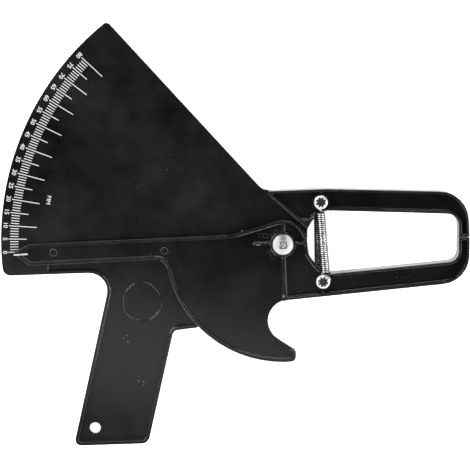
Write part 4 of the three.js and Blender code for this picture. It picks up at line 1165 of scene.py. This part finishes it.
def spring_route(settings, top_x, bottom_x, level, side, upper, lower):
    """Centre line of the wire: a loop round the upper screw, the coil, and a loop round the lower screw."""
    dx = (bottom_x - top_x) / (settings.turns * settings.pitch)
    along = Vector((dx, -math.sqrt(1 - dx * dx), 0))
    across = Vector((-along.y, along.x, 0)) * side
    up = Vector((0, 0, side))
    start = Vector((top_x, COIL_TOP, level))
    radius = (settings.coil - settings.wire) / 2
    slack = settings.loop - settings.shank - settings.wire / 2 - 0.1 * MM

    def at_turn(turn):
        angle = -2 * math.pi * turn
        off = across * (radius * math.cos(angle)) + up * (radius * math.sin(angle))
        return start + along * (turn * settings.pitch) + off

    def on_loop(screw, way, step):
        centre = Vector((screw.x, screw.y, level)) + along * (way * slack)
        degrees = LOOP_DEGREES * step / LOOP_STEPS
        angle = math.radians(degrees)
        sweep = settings.sweep if way < 0 else 0.2 * settings.sweep
        reach = settings.loop + sweep * max(0.0, 1 - degrees / 85) ** 1.5
        return centre - across * (way * reach * math.cos(angle)) - along * (way * reach * math.sin(angle))

    def lead(screw, turn, way):
        """A smooth stretch from the beginning of a loop to the end of the coil."""
        loop_end, coil_end = on_loop(screw, way, 0), at_turn(turn)
        first = loop_end + along * (way * 2.4 * MM)
        second = coil_end - (at_turn(turn + way * 0.001) - coil_end).normalized() * 1.1 * MM
        points = []
        for k in range(LEAD_STEPS + 1):
            t = k / LEAD_STEPS
            shares = (1 - t) ** 3, 3 * t * (1 - t) ** 2, 3 * t * t * (1 - t), t ** 3
            points.append(sum((p * share for p, share in zip((loop_end, first, second, coil_end), shares)), Vector()))
        return points

    steps = int(settings.turns * TURN_STEPS)
    return [
        *(on_loop(upper, 1, k) for k in range(LOOP_STEPS, 0, -1)),
        *lead(upper, 0, 1)[:-1],
        *(at_turn(settings.turns * k / steps) for k in range(steps + 1)),
        *lead(lower, settings.turns, -1)[-2::-1],
        *(on_loop(lower, -1, k) for k in range(1, LOOP_STEPS + 1)),
    ]


def tarnish(mesh, top_x, bottom_x, level, settings, least_shade):
    """Marks where painted shade darkens the wire: between the turns, along the flanks and the top of the coil, and on
    the loops.
    """
    values = mesh.attributes.new("tarnish", "FLOAT", "POINT")
    middle = (settings.coil - settings.wire) / 2
    for vert, value in zip(mesh.vertices, values.data):
        share = (COIL_TOP - vert.co.y) / (settings.turns * settings.pitch)
        if not 0 < share < 1:
            value.value = max(least_shade, 0.15)
            continue
        off = vert.co.x - (top_x + (bottom_x - top_x) * share)
        crown = (math.hypot(off, vert.co.z - level) - middle) / (settings.wire / 2)
        away = abs(off) / (settings.coil / 2)
        # Painted shade between the turns, on the flanks and along the middle of the coil's top, where the real wire
        # shows dark reflections.
        between = clamp((0.97 - crown) / 0.11)
        flank = clamp((away - 0.80) / 0.12)
        ridge = 0.75 * clamp((0.24 - away) / 0.1)
        value.value = max(least_shade, flank, between, ridge)


class CALIPER_OT_springs(bpy.types.Operator):
    """The two extension springs with open loops round their screws"""

    bl_idname = "caliper.springs"
    bl_label = "Springs"

    def execute(self, context):
        settings = context.scene.caliper_springs
        tree = wire_tree()
        # The last column sets the smallest painted shade on the wire: the rear spring is painted a little darker all
        # over as shade.
        for node, top_x, bottom_x, level, side, least_shade in (
            ("front_spring", 21.85 * MM, 24.75 * MM, 11.45 * MM, 1, 0.0),
            ("rear_spring", 20.75 * MM, 21.35 * MM, 3.55 * MM, -1, 0.1),
        ):
            which = node.split("_")[0]
            ends = [centre_of(f"{which}_{place}_screw") for place in ("upper", "lower")]
            route = spring_route(settings, top_x, bottom_x, level, side, *ends)
            curve = bpy.data.curves.new(node + "_wire", "CURVE")
            curve.dimensions = "3D"
            spline = curve.splines.new("POLY")
            spline.points.add(len(route) - 1)
            for point, place in zip(spline.points, route):
                point.co = (*place, 1)
            values = {"Wire Radius": settings.wire / 2, "Sides": WIRE_SIDES, "Material": finish("spring_wire")}
            obj = apply_tree(new_object(node + "_wire", curve), tree, values)
            for polygon in obj.data.polygons:
                polygon.use_smooth = len(polygon.vertices) == 4
            tarnish(obj.data, top_x, bottom_x, level, settings, least_shade)
            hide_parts(node)
            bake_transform(obj)
        return {"FINISHED"}


# ---- Stage


AIM = Vector((-27.8, 5.4, 11)) * MM
PICTURE_WIDTH = 470 * 0.58 * MM
SENSOR = 36
WHITE_GLOW = 0.93
# Soft boxes: name, place and size in metres, power in watts. The last one is the dim panel over the handle.
LAMPS = (
    ("box_left", (-0.80, 0.55, 0.70), 0.72, 0.26, 13.0),
    ("box_right", (0.93, -0.18, 0.70), 0.62, 0.26, 9.5),
    ("box_top", (0.16, 0.95, 0.72), 0.62, 0.26, 10.0),
    ("box_low_left", (-0.72, -0.66, 0.70), 0.62, 0.26, 8.5),
    ("box_low_right", (0.48, -0.84, 0.70), 0.62, 0.26, 8.0),
    ("panel", (-0.06, -0.145, 0.5), 0.34, 0.09, 0.102),
)


def soft_box(name, place, width, height, power):
    light = bpy.data.lights.new(name, "AREA")
    light.shape = "RECTANGLE"
    light.size = width
    light.size_y = height
    light.energy = power
    obj = new_object(name, light)
    obj.location = place
    obj.rotation_euler = (AIM - Vector(place)).to_track_quat("-Z", "Y").to_euler()


def white_floor(colour):
    """A floor that the camera sees as white, that gloss mirrors as paler grey, and that still takes shadows."""
    half = 3.0
    mesh = bpy.data.meshes.new("floor")
    mesh.from_pydata([(-half, -half, 0), (half, -half, 0), (half, half, 0), (-half, half, 0)], [], [(0, 1, 2, 3)])
    mesh.transform(Matrix.Translation((0, 0, -0.1 * MM)))
    new_object("floor", mesh)
    material, n, shader, place = new_material("floor")
    shader["Base Color"].default_value = (*colour, 1)
    shader["Roughness"].default_value = 0.9
    shader["Specular IOR Level"].default_value = 0.0
    path = n.add("ShaderNodeLightPath").outputs
    away = n.add("ShaderNodeVectorMath", operation="LENGTH")
    n.link(place, away.inputs[0])
    mirrored = n.times(path["Is Glossy Ray"], n.spread(away.outputs["Value"], 0.45, 0.75, 0.5, 0.12))
    seen = n.plus(n.plus(path["Is Camera Ray"], mirrored), path["Is Transmission Ray"])
    glow = n.add("ShaderNodeEmission")
    n.link(n.times(n.math("MINIMUM", seen, 1.0), WHITE_GLOW), glow.inputs["Strength"])
    both = n.add("ShaderNodeAddShader")
    n.link(n.found("BSDF_PRINCIPLED").outputs[0], both.inputs[0])
    n.link(glow.outputs[0], both.inputs[1])
    n.link(both.outputs[0], n.found("OUTPUT_MATERIAL").inputs["Surface"])
    mesh.materials.append(material)


class CALIPER_OT_stage(bpy.types.Operator):
    """White floor, soft boxes and the camera above the caliper"""

    bl_idname = "caliper.stage"
    bl_label = "Stage"

    def execute(self, context):
        settings = context.scene.caliper_stage
        scene = context.scene
        scene.view_settings.view_transform = "Standard"
        white_floor(settings.floor_colour)

        world = bpy.data.worlds.new("studio")
        scene.world = world
        world.use_nodes = True
        n = Nodes(world.node_tree)
        background = n.found("BACKGROUND").inputs
        background["Color"].default_value = (1, 1, 1, 1)
        to_camera = n.add("ShaderNodeLightPath").outputs["Is Camera Ray"]
        n.link(n.spread(to_camera, 0, 1, 0.09, 1.0), background["Strength"])

        for name, place, width, height, power in LAMPS:
            soft_box(name, place, width, height, power * settings.lamps)

        camera = bpy.data.cameras.new("camera")
        camera.sensor_width = SENSOR
        camera.lens = SENSOR * settings.distance / PICTURE_WIDTH
        camera.clip_start = 0.05
        camera.clip_end = 20
        cam = new_object("camera", camera)
        back = Vector((0, math.sin(settings.tilt), math.cos(settings.tilt)))
        right = Vector((1, 0, 0))
        turn = Matrix((right, back.cross(right), back)).transposed()
        cam.matrix_world = Matrix.Translation(AIM + back * settings.distance) @ turn.to_4x4()
        scene.camera = cam
        return {"FINISHED"}


# ---- Panel and registration


STEPS = (
    "frame_moulding", "lever_moulding", "mould_marks", "scale", "pointer_line", "rivet", "screws", "springs", "stage",
)


class CALIPER_PT_panel(bpy.types.Panel):
    """Lists the caliper's pieces and their sizes"""

    bl_idname = "CALIPER_PT_panel"
    bl_label = "Skinfold Caliper"
    bl_space_type = "VIEW_3D"
    bl_region_type = "UI"
    bl_category = "Caliper"

    def draw(self, context):
        for name in GROUPS:
            group = getattr(context.scene, name)
            box = self.layout.box()
            for setting in type(group).__annotations__:
                box.prop(group, setting)
        for step in STEPS:
            self.layout.operator("caliper." + step)


GROUPS = {
    "caliper_plastic": PlasticSettings,
    "caliper_scale": ScaleSettings,
    "caliper_springs": SpringSettings,
    "caliper_stage": StageSettings,
}
CLASSES = (
    *GROUPS.values(), CALIPER_OT_frame_moulding, CALIPER_OT_lever_moulding, CALIPER_OT_mould_marks, CALIPER_OT_scale,
    CALIPER_OT_pointer_line, CALIPER_OT_rivet, CALIPER_OT_screws, CALIPER_OT_springs, CALIPER_OT_stage,
    CALIPER_PT_panel,
)


def register():
    for item in CLASSES:
        bpy.utils.register_class(item)
    for name, group in GROUPS.items():
        setattr(bpy.types.Scene, name, PointerProperty(type=group))


def unregister():
    for name in GROUPS:
        delattr(bpy.types.Scene, name)
    for item in reversed(CLASSES):
        bpy.utils.unregister_class(item)


def main():
    register()
    for step in STEPS:
        getattr(bpy.ops.caliper, step)()


if __name__ == "__main__":
    main()
